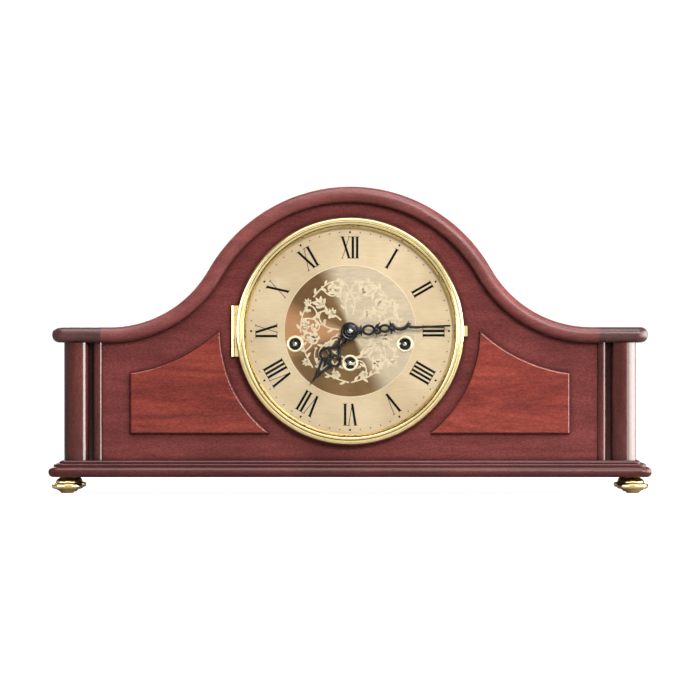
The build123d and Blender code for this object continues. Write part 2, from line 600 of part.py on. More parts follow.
def minute_hand():
    """A pierced serpentine hand with two loops, a scoop and a long plain tip, drawn pointing to XII."""
    face = Circle(6.1) + Pos(0, 8) * Rectangle(3.2, 5)
    face += pierced(0, 13.4, 4.2, 4.5, 1.1)
    face += outline([(-1.9, 17.2), (1.9, 17.2), (1.1, 22.6), (-1.1, 22.6)])
    face += pierced(0, 25.6, 3.0, 3.9, 1.0)
    face += outline([(-2.0, 28.8), (2.2, 28.8), (2.6, 31.6), (-1.2, 31.6)])
    scoop = Pos(-4.6, 36.4) * (Circle(7.4) - Circle(5.9))
    face += scoop & (Pos(4, 36.4) * Rectangle(12, 13.2))
    face += outline([(-1.7, 41.2), (1.9, 40.8), (0.9, 44.5), (0.55, 60), (0.3, MINUTE_LENGTH)]
                    + [(-0.3, MINUTE_LENGTH), (-0.55, 60), (-0.9, 44.5)])
    for y, reach in ((8.6, 3.2), (19.6, 3.4), (30.2, 3.8)):
        for side in (-1, 1):
            face += spike(side * 1.0, y, reach, -side * 78)
            face += spike(side * 1.0, y + 1.2, reach - 0.6, -side * 48)
    face += spike(-1.2, 42.2, 3.0, 62) + spike(1.2, 42.6, 2.2, -60)
    face -= Circle(1.2)
    return plate(face, (-64.8, -64.2), CENTRE, -MINUTE_ANGLE)


def hour_hand():
    """The pierced hour hand: a small loop, twin rings and an open arrow, drawn pointing to XII."""
    face = Circle(5.9) + Pos(0, 8) * Rectangle(2.8, 5)
    face += pierced(0, 13.2, 2.9, 3.9, 1.0)
    face += outline([(-1.5, 16.6), (1.5, 16.6), (1.9, 20.6), (-1.9, 20.6)])
    for side in (-1, 1):
        face += pierced(side * 4.3, 24.2, 4.6, 4.6, 1.15)
        face += bar((side * 4.6, 28.2), (0, 40.5), 1.1)
        face += spike(side * 1.0, 17.6, 3.6, -side * 70) + spike(side * 0.9, 10.0, 3.2, -side * 72)
        face += spike(side * 8.4, 22.0, 2.2, -side * 100) + spike(side * 8.0, 26.6, 2.2, -side * 60)
        face += spike(side * 1.0, 27.2, 4.2, -side * 16, 1.5)
    face += outline([(-1.2, 38.6), (1.2, 38.6), (0.3, HOUR_LENGTH), (-0.3, HOUR_LENGTH)])
    face -= Circle(HOUR_PIPE - 0.4)
    return plate(face, (-62.2, -61.6), CENTRE, -HOUR_ANGLE)


def hand_nut():
    dome = [(0, -67.6), (1.4, -67.5), (2.7, -66.9), (3.3, -65.9), (3.4, -64.8)]
    bore = [(1.2, -64.8), (1.2, -66), (0, -66)]
    return turned(dome + bore, CENTRE)


# ---------------------------------------------------------------- dial and bezel
def dial_plate():
    """The dial, held to the movement's front plate by four feet."""
    face = Circle(DIAL_RADIUS) - Circle(HOUR_PIPE + 1.4)
    for x, z in BARRELS.values():
        face -= Pos(x, z - DIAL_Z) * Circle(5.2)
    made = plate(face, (DIAL_FRONT, DIAL_BACK), CENTRE)
    for x in (-38, 38):
        for z in (-48, 48):
            made += rod((x, DIAL_Z + z), 2, (DIAL_BACK, FRONT_PLATE[0]))
    return made


def winding_grommets():
    """Three brass eyelets in the dial, round the winding squares."""
    barrel_part = [(4.3, -57.2), (5.1, -57.2), (5.1, DIAL_FRONT)]
    lip = [(5.9, DIAL_FRONT), (5.9, -59.4), (5.3, -59.9), (4.6, -59.9), (4.3, -59.5)]
    return Compound(children=[turned(barrel_part + lip, at) for at in BARRELS.values()])


def bezel_ring():
    """The brass door frame: an outer bead, a crest with the glass seat, and an inner slope to the dial."""
    profile = [(BEZEL_INNER, BEZEL_BACK), (BEZEL_OUTER, BEZEL_BACK), (BEZEL_OUTER, -61.6), (84.1, -62.9)]
    profile += [(83.4, -64.0), (82.5, -64.7), (82.0, -64.7), (81.8, -66.0), (81.2, -67.0), (80.3, -67.6)]
    profile += [(79.4, -67.5), (79.1, -67.0), (79.9, -66.9), (79.9, GLASS_EDGE), (79.0, GLASS_EDGE)]
    profile += [(77.6, -64.6), (76.4, -63.2), (75.6, -61.6)]
    ring = turned(profile, CENTRE)
    tab = block((83.6, 87.6), (-62.6, -60.6), (DIAL_Z - 4.5, DIAL_Z + 4.5))
    tab = fillet(tab.edges().filter_by(Axis.Y), 0.8)
    return ring + tab


def bezel_glass():
    """A shallow dome of glass with a flat rim that sits in the bezel's groove."""
    rim, front = GLASS_RADIUS - 0.8, GLASS_EDGE - GLASS_THICK
    radius = (rim**2 + GLASS_RISE**2) / (2 * GLASS_RISE)
    centre = Pos(0, front - GLASS_RISE + radius, DIAL_Z)
    dome = centre * Sphere(radius) & rod(CENTRE, rim, (front - GLASS_RISE - 1, GLASS_EDGE))
    return dome + rod(CENTRE, GLASS_RADIUS, (front, GLASS_EDGE)) - centre * Sphere(radius - GLASS_THICK)


def bezel_hinge_case_leaf():
    """The fixed leaf, let into the panel behind the dial's edge, with the middle knuckle and the pin."""
    half = MIDDLE_KNUCKLE - 0.2
    z = (DIAL_Z - half, DIAL_Z + half)
    web_x = (BEZEL_HINGE_X - 1.2, BEZEL_HINGE_X - 0.2)
    bed = (PANEL_FRONT, PANEL_FRONT + 0.8)
    axis = Pos(BEZEL_HINGE_X, BEZEL_HINGE_Y, DIAL_Z)
    leaf = block((web_x[0], -74), bed, z) + block(web_x, (BEZEL_HINGE_Y, bed[1]), z)
    return leaf + axis * Cylinder(BEZEL_KNUCKLE, 2 * half) + axis * Cylinder(0.6, 2 * END_KNUCKLE)


def bezel_hinge_ring_leaf():
    """The bezel's two end knuckles, each on a thin leaf soldered to the back of the ring."""
    parts = []
    for side in (-1, 1):
        z = sorted((DIAL_Z + side * MIDDLE_KNUCKLE, DIAL_Z + side * END_KNUCKLE))
        leaf = block((BEZEL_HINGE_X, -78.5), (BEZEL_BACK, BEZEL_BACK + 0.6), z)
        axis = Pos(BEZEL_HINGE_X, BEZEL_HINGE_Y, sum(z) / 2)
        leaf += axis * Cylinder(BEZEL_KNUCKLE, END_KNUCKLE - MIDDLE_KNUCKLE)
        parts.append(leaf - axis * Cylinder(0.6 + RUNNING, END_KNUCKLE))
    return Compound(children=parts)


# ---------------------------------------------------------------- strike, chime and hammers
def strike_wheel():
    shaft = between_plates() + wheel(SECOND_TEETH, TRAIN_MODULE, 0, SECOND_PLANE)
    front, back = GREAT_PLANE
    shaft += pinion(PINION_TEETH, GREAT_MODULE, 0, (front - 0.6, back + 0.6))
    return Pos(STRIKE_SECOND[0], 0, STRIKE_SECOND[1]) * shaft


def chime_wheel():
    """The chime second wheel, whose arbor goes through the back plate to drive the pin drum."""
    shaft = between_plates(back=1.5) + wheel(SECOND_TEETH, 0.45, 0, THIRD_PLANE)
    front, back = GREAT_PLANE
    shaft += pinion(PINION_TEETH, GREAT_MODULE, 0, (front - 0.6, back + 0.6))
    shaft += rod((0, 0), 1.5, (BACK_PLATE[1], DRUM_PLANE[0]))
    shaft += wheel(DRUM_DRIVER, DRUM_MODULE, 0, DRUM_PLANE, windows=0)
    return Pos(CHIME_SECOND[0], 0, CHIME_SECOND[1]) * shaft


DRUM_RADIUS, PIN_REACH = 8.0, 11.0


def chime_drum():
    """The pin drum: a cylinder whose rows of pins lift the hammers in turn."""
    phase = mesh_phase(CHIME_SECOND, DRUM_DRIVER, 0, DRUM, DRUM_TEETH)
    drum = wheel(DRUM_TEETH, DRUM_MODULE, phase, DRUM_PLANE)
    drum += rod((0, 0), 2.0, (DRUM_PLANE[1], 9)) + rod((0, 0), DRUM_RADIUS, (9, 53))
    drum += rod((0, 0), PIVOT, (BACK_PLATE[0], DRUM_PLANE[0])) + rod((0, 0), PIVOT, (53, BRACKET[1]))
    pin = Pos(0, 0, PIN_REACH / 2) * Cylinder(0.7, PIN_REACH)
    for row, y in enumerate(HAMMER_ROWS):
        for i in range(4):
            drum += Pos(0, y, 0) * Rot(0, 90 * i + 37 * row, 0) * pin
    return Pos(DRUM[0], 0, DRUM[1]) * drum


BRACKET_POSTS = [(8.0, 84.0), (52.5, 58.2)]


def hammer_frame():
    """The steel bracket behind the drum, its two posts, and the fixed arbor that the hammers swing on."""
    face = Polygon((6, 56), (62, 52), (62, 74), (46, 84), (4, 88), align=None)
    face = fillet(face.vertices(), 3) - Pos(*DRUM) * Circle(PIVOT + RUNNING)
    frame = plate(face, BRACKET)
    for post in BRACKET_POSTS:
        frame += rod(post, 1.8, (BACK_PLATE[1], BRACKET[0]))
    return frame + rod(HAMMER_PIVOT, 1.5, (BACK_PLATE[1], BRACKET[0]))


def hammer(row):
    """One hammer: hub, tail towards the drum, and a bent arm with a brass head over its rod."""
    y = HAMMER_ROWS[row]
    pivot_x, pivot_z = HAMMER_PIVOT
    tail = (DRUM[0] - 12.2 - pivot_x, 3.2)
    head = (HAMMER_X - pivot_x, ROD_Z + ROD_RADIUS + HAMMER_GAP - pivot_z)
    hub = plate(Circle(3.8) + bar((0, 0), tail, 2.0), (y - 1.6, y + 1.6), HAMMER_PIVOT)
    elbow = (head[0], head[1] + 12)
    arm = plate(bar((0, 0), elbow, 1.8) + Pos(*elbow) * Circle(1.8), (y - 1.1, y + 1.1), HAMMER_PIVOT)
    middle = ROD_Z + ROD_RADIUS + HAMMER_GAP + 5
    shank = Pos(HAMMER_X, y, middle + 3) * Cylinder(1.1, 10)
    weight = Pos(HAMMER_X, y, middle) * Cylinder(3.5, 10)
    weight = chamfer(weight.edges().filter_by(GeomType.CIRCLE), 0.8)
    return hub + arm + shank + weight - rod(HAMMER_PIVOT, 1.5 + RUNNING, (0, 60))


def chime_rods():
    """Five tuned rods, each with a thin neck where it is driven into the block."""
    parts = []
    for i, y in enumerate(HAMMER_ROWS):
        end = 172.0 - 13.0 * i
        root = ROD_BLOCK[1]
        whole = Pos((root + 4 + end) / 2, y, ROD_Z) * Rot(0, 90, 0) * Cylinder(ROD_RADIUS, end - root - 4)
        neck = Pos(root - 2, y, ROD_Z) * Rot(0, 90, 0) * Cylinder(0.9, 12.2)
        parts.append(whole + neck)
    return Compound(children=parts)


def rod_block():
    """The cast-iron block that holds the rods, on its foot on the case floor."""
    body = block(ROD_BLOCK, (7, 57), (CASE_FLOOR + 5, ROD_Z + 8))
    body = fillet(body.edges().filter_by(Axis.Y), 2)
    foot = block((ROD_BLOCK[0] - 6, ROD_BLOCK[1] + 6), (9, 55), (CASE_FLOOR, CASE_FLOOR + 5))
    for y in HAMMER_ROWS:
        body -= Pos(ROD_BLOCK[1] - 4.1, y, ROD_Z) * Rot(0, 90, 0) * Cylinder(0.9, 8.2)
    return body + foot


# ---------------------------------------------------------------- everything, by node name
def nodes():
    """Each node's name and its shape."""
    made = {
        "base_board": base_board(),
        "base_moulding": base_moulding(),
        "front_panel": front_panel(),
        "left_raised_panel": raised_panel(),
        "right_raised_panel": mirrored(raised_panel()),
        "top_arch": top_arch(),
        "left_shoulder_cap": shoulder_cap(),
        "right_shoulder_cap": mirrored(shoulder_cap()),
        "corner_posts": Compound(children=[corner_post(), mirrored(corner_post())]),
        "side_panels": Compound(children=[side_panel(), mirrored(side_panel())]),
        "brass_feet": brass_feet(),
        "rear_frame": rear_frame(),
        "rear_door": rear_door(),
        "rear_door_knob": rear_door_knob(),
        "rear_hinge_frame_leaves": rear_hinge_leaves(-1),
        "rear_hinge_door_leaves": rear_hinge_leaves(1),
        "dial_plate": dial_plate(),
        "winding_grommets": winding_grommets(),
        "hour_hand": hour_hand(),
        "minute_hand": minute_hand(),
        "hand_nut": hand_nut(),
        "bezel_ring": bezel_ring(),
        "bezel_glass": bezel_glass(),
        "bezel_hinge_case_leaf": bezel_hinge_case_leaf(),
        "bezel_hinge_ring_leaf": bezel_hinge_ring_leaf(),
        "front_plate": front_plate(),
        "back_plate": back_plate(),
        "plate_pillars": plate_pillars(),
        "centre_arbor": centre_arbor(),
        "intermediate_wheel": intermediate_wheel(),
        "third_wheel": third_wheel(),
        "escape_wheel": escape_wheel(),
        "pallet_lever": pallet_lever(),
        "balance_wheel": balance_wheel(),
        "balance_cock": balance_cock(),
        "minute_wheel": minute_wheel(),
        "hour_wheel": hour_wheel(),
        "strike_wheel": strike_wheel(),
        "chime_wheel": chime_wheel(),
        "chime_drum": chime_drum(),
        "hammer_frame": hammer_frame(),
        "chime_rods": chime_rods(),
        "rod_block": rod_block(),
    }
    for name in BARRELS:
        made[f"{name}_barrel"] = barrel(name)
        made[f"{name}_winding_arbor"] = winding_arbor(name)
        made[f"{name}_mainspring"] = mainspring(name)
        made[f"{name}_click"] = click(name)
    for row in range(len(HAMMER_ROWS)):
        made[f"hammer_{row + 1}"] = hammer(row)
    return made


def main():
    os.makedirs("parts", exist_ok=True)
    for name, shape in nodes().items():
        export_step(shape, f"parts/{name}.step")


if __name__ == "__main__":
    main()
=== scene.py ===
"""Looks of the mantel clock: woods and metals, printed dial, pierced hands, turned brass, and the studio."""
import math

import bmesh
import bpy
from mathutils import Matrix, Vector


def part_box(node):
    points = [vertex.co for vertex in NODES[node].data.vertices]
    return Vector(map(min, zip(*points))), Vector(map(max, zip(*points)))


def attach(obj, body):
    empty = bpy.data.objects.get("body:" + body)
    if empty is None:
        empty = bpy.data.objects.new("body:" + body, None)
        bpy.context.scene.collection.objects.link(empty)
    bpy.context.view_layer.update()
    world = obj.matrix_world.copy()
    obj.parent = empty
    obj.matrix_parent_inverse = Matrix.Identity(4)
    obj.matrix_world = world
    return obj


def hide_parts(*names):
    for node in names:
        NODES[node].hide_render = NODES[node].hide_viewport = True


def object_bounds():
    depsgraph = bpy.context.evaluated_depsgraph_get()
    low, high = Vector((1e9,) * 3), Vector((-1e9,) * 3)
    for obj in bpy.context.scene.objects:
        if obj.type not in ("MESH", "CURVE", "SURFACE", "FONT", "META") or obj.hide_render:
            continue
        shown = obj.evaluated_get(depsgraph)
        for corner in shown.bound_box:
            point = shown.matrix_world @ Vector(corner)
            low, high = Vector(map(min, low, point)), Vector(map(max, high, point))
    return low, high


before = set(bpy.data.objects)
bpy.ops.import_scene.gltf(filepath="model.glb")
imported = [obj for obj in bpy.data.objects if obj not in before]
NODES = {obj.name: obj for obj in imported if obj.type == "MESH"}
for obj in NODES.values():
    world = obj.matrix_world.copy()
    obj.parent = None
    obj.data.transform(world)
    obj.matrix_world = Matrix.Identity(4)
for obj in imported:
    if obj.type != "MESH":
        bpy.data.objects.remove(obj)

cad_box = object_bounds()

MM = 0.001


# ---------------------------------------------------------------- places, all read from the frame

def middle(node):
    """Centre of a CAD node's box."""
    low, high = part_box(node)
    return (low + high) / 2


def reach(node):
    """Half the width of a round CAD node."""
    low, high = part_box(node)
    return (high.x - low.x) / 2


def front(node):
    """How far forward a CAD node reaches."""
    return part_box(node)[0].y


def back(node):
    """How far back a CAD node reaches."""
    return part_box(node)[1].y


DIAL = middle("dial_plate")
DIAL_FACE = front("dial_plate")
PRINT = 0.04 * MM
HAIR = 0.0004 * MM
DISC_RADIUS = 48.6 * MM
DISC_EDGE = 0.25 * MM


def hand_angle(node):
    """Clockwise angle from XII of a hand's tip, which is its vertex furthest from the dial centre."""
    tip = max((v.co - DIAL for v in NODES[node].data.vertices), key=lambda way: way.x ** 2 + way.z ** 2)
    return math.atan2(tip.x, tip.z)


# ---------------------------------------------------------------- node materials

class Look:
    """A node material: one Principled shader, and the nodes that feed it.

    Lengths are metres of the frame, and a noise's scale is its features per metre.
    """

    def __init__(self, name, sockets):
        self.material = bpy.data.materials.new(name)
        self.material.use_nodes = True
        self.tree = self.material.node_tree
        self.shader = self.tree.nodes["Principled BSDF"]
        self.place = self.tree.nodes.new("ShaderNodeTexCoord").outputs["Object"]
        for label, value in sockets.items():
            self.shader.inputs[label].default_value = value

    def node(self, kind, inputs, **settings):
        """A new node: its inputs as values or as other nodes' outputs, and its settings."""
        made = self.tree.nodes.new(kind)
        for field, value in settings.items():
            setattr(made, field, value)
        for key, value in inputs.items():
            self.feed(made.inputs[key], value)
        return made

    def feed(self, socket, value):
        if isinstance(value, bpy.types.NodeSocket):
            self.tree.links.new(value, socket)
        else:
            socket.default_value = value

    def colour(self, value):
        self.feed(self.shader.inputs["Base Color"], value)

    def roughness(self, value):
        self.feed(self.shader.inputs["Roughness"], value)

    def stretched(self, scale, shift=(0, 0, 0)):
        """Place on the object, scaled and then shifted."""
        return self.node("ShaderNodeMapping", {"Vector": self.place, "Scale": scale,
                                               "Location": shift}).outputs["Vector"]

    def noise(self, vector, scale, detail=2.0, roughness=0.5, distortion=0.0):
        return self.node("ShaderNodeTexNoise", {"Vector": vector, "Scale": scale, "Detail": detail,
                                                "Roughness": roughness, "Distortion": distortion},
                         ).outputs["Fac"]

    def span(self, value, low, high, to_low=0.0, to_high=1.0, kind="SMOOTHSTEP"):
        """A value's range from low to high, carried to another range and held at its ends."""
        return self.node("ShaderNodeMapRange", {"Value": value, "From Min": low, "From Max": high,
                                                "To Min": to_low, "To Max": to_high},
                         interpolation_type=kind).outputs["Result"]

    def math(self, operation, first, second=0.0):
        return self.node("ShaderNodeMath", {0: first, 1: second}, operation=operation).outputs[0]

    def mix(self, factor, first, second):
        """A colour between two others."""
        return self.node("ShaderNodeMix", {0: factor, 6: first, 7: second}, data_type="RGBA").outputs[2]

    def shade(self, colour, factor):
        """A colour multiplied by a number that varies over the surface."""
        return self.node("ShaderNodeVectorMath", {0: colour, 3: factor}, operation="SCALE").outputs[0]

    def flat_from(self, centre):
        """Place in the dial's plane, measured from a point."""
        return self.stretched((1, 0, 1), (-centre.x, 0, -centre.z))

    def distance(self, centre):
        """Distance from a point in the dial's plane."""
        flat = self.flat_from(centre)
        return self.node("ShaderNodeVectorMath", {0: flat}, operation="LENGTH").outputs["Value"]

    def openness(self, near):
        """1 where nothing stands within `near`, and less in a corner or a seam."""
        return self.node("ShaderNodeAmbientOcclusion", {"Distance": near}, samples=8).outputs["AO"]

    def sector(self, centre, heading, half, soft):
        """1 within `half` degrees of a heading about a centre, falling to 0 over `soft` degrees each way."""
        flat = self.flat_from(centre)
        way = self.node("ShaderNodeVectorMath", {0: flat}, operation="NORMALIZE").outputs[0]
        axis = (math.sin(math.radians(heading)), 0, math.cos(math.radians(heading)))
        along = self.node("ShaderNodeVectorMath", {0: way, 1: axis}, operation="DOT_PRODUCT").outputs["Value"]
        return self.span(along, math.cos(math.radians(half + soft)), math.cos(math.radians(half - soft)))

    def bump(self, height, distance, strength):
        made = self.node("ShaderNodeBump", {"Height": height, "Distance": distance, "Strength": strength})
        self.tree.links.new(made.outputs["Normal"], self.shader.inputs["Normal"])


# Stretch of the wood's grain along one axis: long for figure and fibres, short for flecks.
GRAIN_LONG = {"x": (0.14, 1, 1), "z": (1, 1, 0.14)}
GRAIN_SHORT = {"x": (0.45, 1, 1), "z": (1, 1, 0.45)}
# Reach of the painted shade in the wood's corners and seams.
PAINTED_SHADE_REACH = 5 * MM


def rgb(red, green, blue):
    return (red, green, blue, 1)


def wood(name, dark, light, grain="x", figure=14.0, swirl=0.8, coat=0.6, satin=0.10, shift=0.0):
    """Stained mahogany under lacquer: figure, fibres, flecks, pores, and painted shade that darkens the
    corners and seams.
    """
    look = Look(name, {"Coat Weight": coat, "Coat Roughness": satin, "Coat IOR": 1.5, "IOR": 1.45,
                       "Specular IOR Level": 0.06})
    along = look.stretched(GRAIN_LONG[grain], (shift, shift, shift))
    broad = look.noise(along, figure * 6, 4, 0.6, swirl)
    fibre = look.noise(along, 520, 4, 0.65, 0.3)
    pore = look.span(look.noise(along, 2600, 2, 0.6), 0.55, 0.72)
    cloud = look.noise(look.place, figure, 3, 0.55)
    fleck = look.noise(look.stretched(GRAIN_SHORT[grain]), 1100, 2, 0.6)
    tone = look.mix(look.span(broad, 0.3, 0.7), dark, light)
    tone = look.shade(tone, look.span(cloud, 0.3, 0.7, 0.85, 1.15))
    tone = look.shade(tone, look.span(fleck, 0.25, 0.75, 0.78, 1.22))
    tone = look.shade(tone, look.span(fibre, 0.25, 0.75, 0.90, 1.10))
    tone = look.shade(tone, look.span(pore, 0, 1, 1.0, 0.66))
    # painted shade: the colour is darkened where other surfaces stand near, in corners, seams, beside parts
    # and under overhangs
    look.colour(look.shade(tone, look.span(look.openness(PAINTED_SHADE_REACH), 0.42, 0.95, 0.30, 1.0, "LINEAR")))
    look.roughness(look.span(fibre, 0.2, 0.8, 0.34, 0.52))
    film = look.noise(look.place, 160, 2, 0.5)
    relief = look.math("ADD", look.math("MULTIPLY", fibre, 0.35), look.math("MULTIPLY", film, 0.5))
    look.bump(look.math("SUBTRACT", relief, look.math("MULTIPLY", pore, 0.3)), 0.06 * MM, 0.35)
    return look.material


def metal(name, colour, tarnish, roughness, brushed=(1, 1, 1), scale=900, wear=0.25, relief=0.02):
    """Metal with a brushed or polished grain, faint tarnish in patches and uneven gloss."""
    look = Look(name, {"Metallic": 1.0})
    grain = look.noise(look.stretched(brushed), scale, 3, 0.6)
    patch = look.noise(look.place, 70, 4, 0.6, 0.4)
    tone = look.mix(look.span(patch, 0.45, 0.75, 0.0, wear), colour, tarnish)
    look.colour(look.shade(tone, look.span(grain, 0.2, 0.8, 0.94, 1.06)))
    worn = look.math("ADD", look.span(patch, 0.35, 0.7, roughness, roughness * 1.7),
                     look.span(grain, 0.3, 0.7, 0.0, roughness * 0.35))
    look.roughness(worn)
    look.bump(grain, relief * MM, 0.3)
    return look.material


def black_enamel(name, gloss):
    """Near black paint of the hands, or ink of the printing."""
    look = Look(name, {"Specular IOR Level": gloss})
    grain = look.noise(look.place, 1800, 3, 0.6)
    look.colour(look.mix(grain, rgb(0.002, 0.002, 0.003), rgb(0.008, 0.008, 0.010)))
    look.roughness(look.span(grain, 0.2, 0.8, 0.28, 0.45))
    look.bump(grain, 0.02 * MM, 0.3)
    return look.material


def dial_metal(name):
    """Champagne dial sheet. Its spun bronze disc has a pale sector and a copper one, both painted reflections
    of the spun metal's gleam.
    """
    look = Look(name, {"Metallic": 0.55, "Specular IOR Level": 0.4, "Coat Weight": 0.15,
                       "Coat Roughness": 0.3})
    brushed = look.noise(look.stretched((0.06, 1, 1)), 2600, 3, 0.6)
    cloud = look.noise(look.place, 26, 3, 0.5)
    ring = look.mix(look.span(cloud, 0.3, 0.7), rgb(0.56, 0.425, 0.265), rgb(0.68, 0.54, 0.355))
    # painted reflection: a pale sector over the disc's right side and top, where the spun metal's gleam falls
    painted_glare_sector = look.sector(DIAL, 65, 85, 12)
    # painted reflection: a copper gleam of the spun metal at the disc's left edge
    painted_copper_gleam = look.sector(DIAL, -90, 16, 14)
    bronze = look.mix(look.span(cloud, 0.3, 0.7), rgb(0.150, 0.078, 0.026), rgb(0.260, 0.146, 0.055))
    bronze = look.mix(painted_copper_gleam, bronze, rgb(0.54, 0.27, 0.13))
    disc = look.mix(painted_glare_sector, bronze, rgb(0.66, 0.535, 0.375))
    inside = look.span(look.distance(DIAL), DISC_RADIUS + DISC_EDGE, DISC_RADIUS - DISC_EDGE)
    tone = look.mix(inside, ring, disc)
    look.colour(look.shade(tone, look.span(brushed, 0.25, 0.75, 0.93, 1.07)))
    satin = look.span(inside, 0, 1, 0.42, 0.30)
    look.roughness(look.math("ADD", satin, look.span(brushed, 0.3, 0.7, 0, 0.1)))
    look.bump(brushed, 0.02 * MM, 0.25)
    return look.material


def gilt_print(name):
    """Pale gold print of the ornament."""
    look = Look(name, {"Metallic": 0.4, "Specular IOR Level": 0.4})
    grain = look.noise(look.place, 900, 3, 0.6)
    look.colour(look.mix(grain, rgb(0.66, 0.53, 0.35), rgb(0.80, 0.66, 0.46)))
    look.roughness(look.span(grain, 0.2, 0.8, 0.35, 0.5))
    look.bump(grain, 0.015 * MM, 0.3)
    return look.material


def window_glass(name):
    """Clear glass: a mirror that strengthens at a slant, over plain transparency."""
    look = Look(name, {"Base Color": rgb(1, 1, 1), "Metallic": 1.0})
    smear = look.noise(look.place, 60, 3, 0.5)
    look.roughness(look.span(smear, 0.3, 0.7, 0.01, 0.05))
    tree = look.tree
    clear = tree.nodes.new("ShaderNodeBsdfTransparent")
    clear.inputs["Color"].default_value = rgb(0.99, 0.995, 0.99)
    slant = look.node("ShaderNodeFresnel", {"IOR": 1.12}).outputs["Fac"]
    blend = look.node("ShaderNodeMixShader", {0: slant, 1: clear.outputs[0], 2: look.shader.outputs[0]})
    tree.links.new(blend.outputs[0], tree.nodes["Material Output"].inputs["Surface"])
    return look.material


def studio_white(name):
    """Matt white paper with a glow, which keeps the background white."""
    look = Look(name, {"Emission Color": rgb(1, 1, 1), "Emission Strength": 0.92})
    paper = look.noise(look.place, 8, 3, 0.5)
    look.colour(look.mix(paper, rgb(0.28, 0.28, 0.28), rgb(0.32, 0.32, 0.31)))
    look.roughness(look.span(paper, 0, 1, 0.75, 0.9))
    return look.material


PANEL_WOOD = wood("panel_wood", rgb(0.122, 0.028, 0.026), rgb(0.160, 0.038, 0.035), coat=0.25)
RAISED_WOOD = wood("raised_wood", rgb(0.138, 0.024, 0.018), rgb(0.245, 0.043, 0.030),
                   figure=9.0, swirl=2.0, coat=0.8, shift=0.37)
CASE_WOOD = wood("case_wood", rgb(0.130, 0.029, 0.026), rgb(0.190, 0.044, 0.039),
                 coat=0.7, satin=0.38, shift=0.61)
POST_WOOD = wood("post_wood", rgb(0.068, 0.017, 0.014), rgb(0.105, 0.027, 0.023),
                 grain="z", coat=1.0, satin=0.08)
BASE_WOOD = wood("base_wood", rgb(0.062, 0.0125, 0.011), rgb(0.092, 0.019, 0.017),
                 coat=0.5, satin=0.22, shift=0.29)
CAP_WOOD = wood("cap_wood", rgb(0.062, 0.021, 0.020), rgb(0.088, 0.032, 0.030),
                coat=0.7, satin=0.28, shift=0.83)
SIDE_WOOD = wood("side_wood", rgb(0.130, 0.030, 0.027), rgb(0.185, 0.044, 0.040), grain="z", shift=0.22)
REAR_WOOD = wood("rear_wood", rgb(0.14, 0.042, 0.032), rgb(0.22, 0.072, 0.054), coat=0.2, shift=0.47)
POLISHED_BRASS = metal("polished_brass", rgb(0.97, 0.80, 0.42), rgb(0.80, 0.55, 0.20), 0.10,
                       scale=300, relief=0.003)
PLATE_BRASS = metal("plate_brass", rgb(0.80, 0.60, 0.27), rgb(0.45, 0.29, 0.11), 0.24, (0.05, 1, 1))
WHEEL_BRASS = metal("wheel_brass", rgb(0.84, 0.63, 0.28), rgb(0.50, 0.32, 0.12), 0.20, (1, 0.2, 1))
FOOT_BRASS = metal("foot_brass", rgb(0.90, 0.68, 0.32), rgb(0.55, 0.36, 0.12), 0.12, scale=300, relief=0.005)
BRIGHT_BRASS = metal("bright_brass", rgb(0.95, 0.86, 0.62), rgb(0.70, 0.52, 0.24), 0.07, scale=300)
GROMMET_BRASS = metal("grommet_brass", rgb(0.99, 0.90, 0.66), rgb(0.85, 0.68, 0.36), 0.24,
                      scale=300, relief=0.003)
# painted shade: the winding arbors' steel is made dark so that they sit in shade inside the holes
SHADED_ARBOR_STEEL = metal("arbor_steel_painted_shade", rgb(0.22, 0.22, 0.23), rgb(0.12, 0.11, 0.10), 0.2, (0.2, 1, 1))
STEEL = metal("steel", rgb(0.62, 0.62, 0.63), rgb(0.30, 0.28, 0.26), 0.16, (0.2, 1, 1))
SPRING_STEEL = metal("spring_steel", rgb(0.20, 0.24, 0.33), rgb(0.12, 0.10, 0.12), 0.22, (1, 0.1, 1))
IRON = metal("cast_iron", rgb(0.10, 0.10, 0.11), rgb(0.05, 0.045, 0.04), 0.5, scale=500, relief=0.15)
BLACK = black_enamel("hand_black", 0.4)
INK = black_enamel("dial_ink", 0.08)
GILT = gilt_print("gilt_print")
DIAL_METAL = dial_metal("dial_metal")
GLASS = window_glass("clear_glass")


# ---------------------------------------------------------------- mesh building

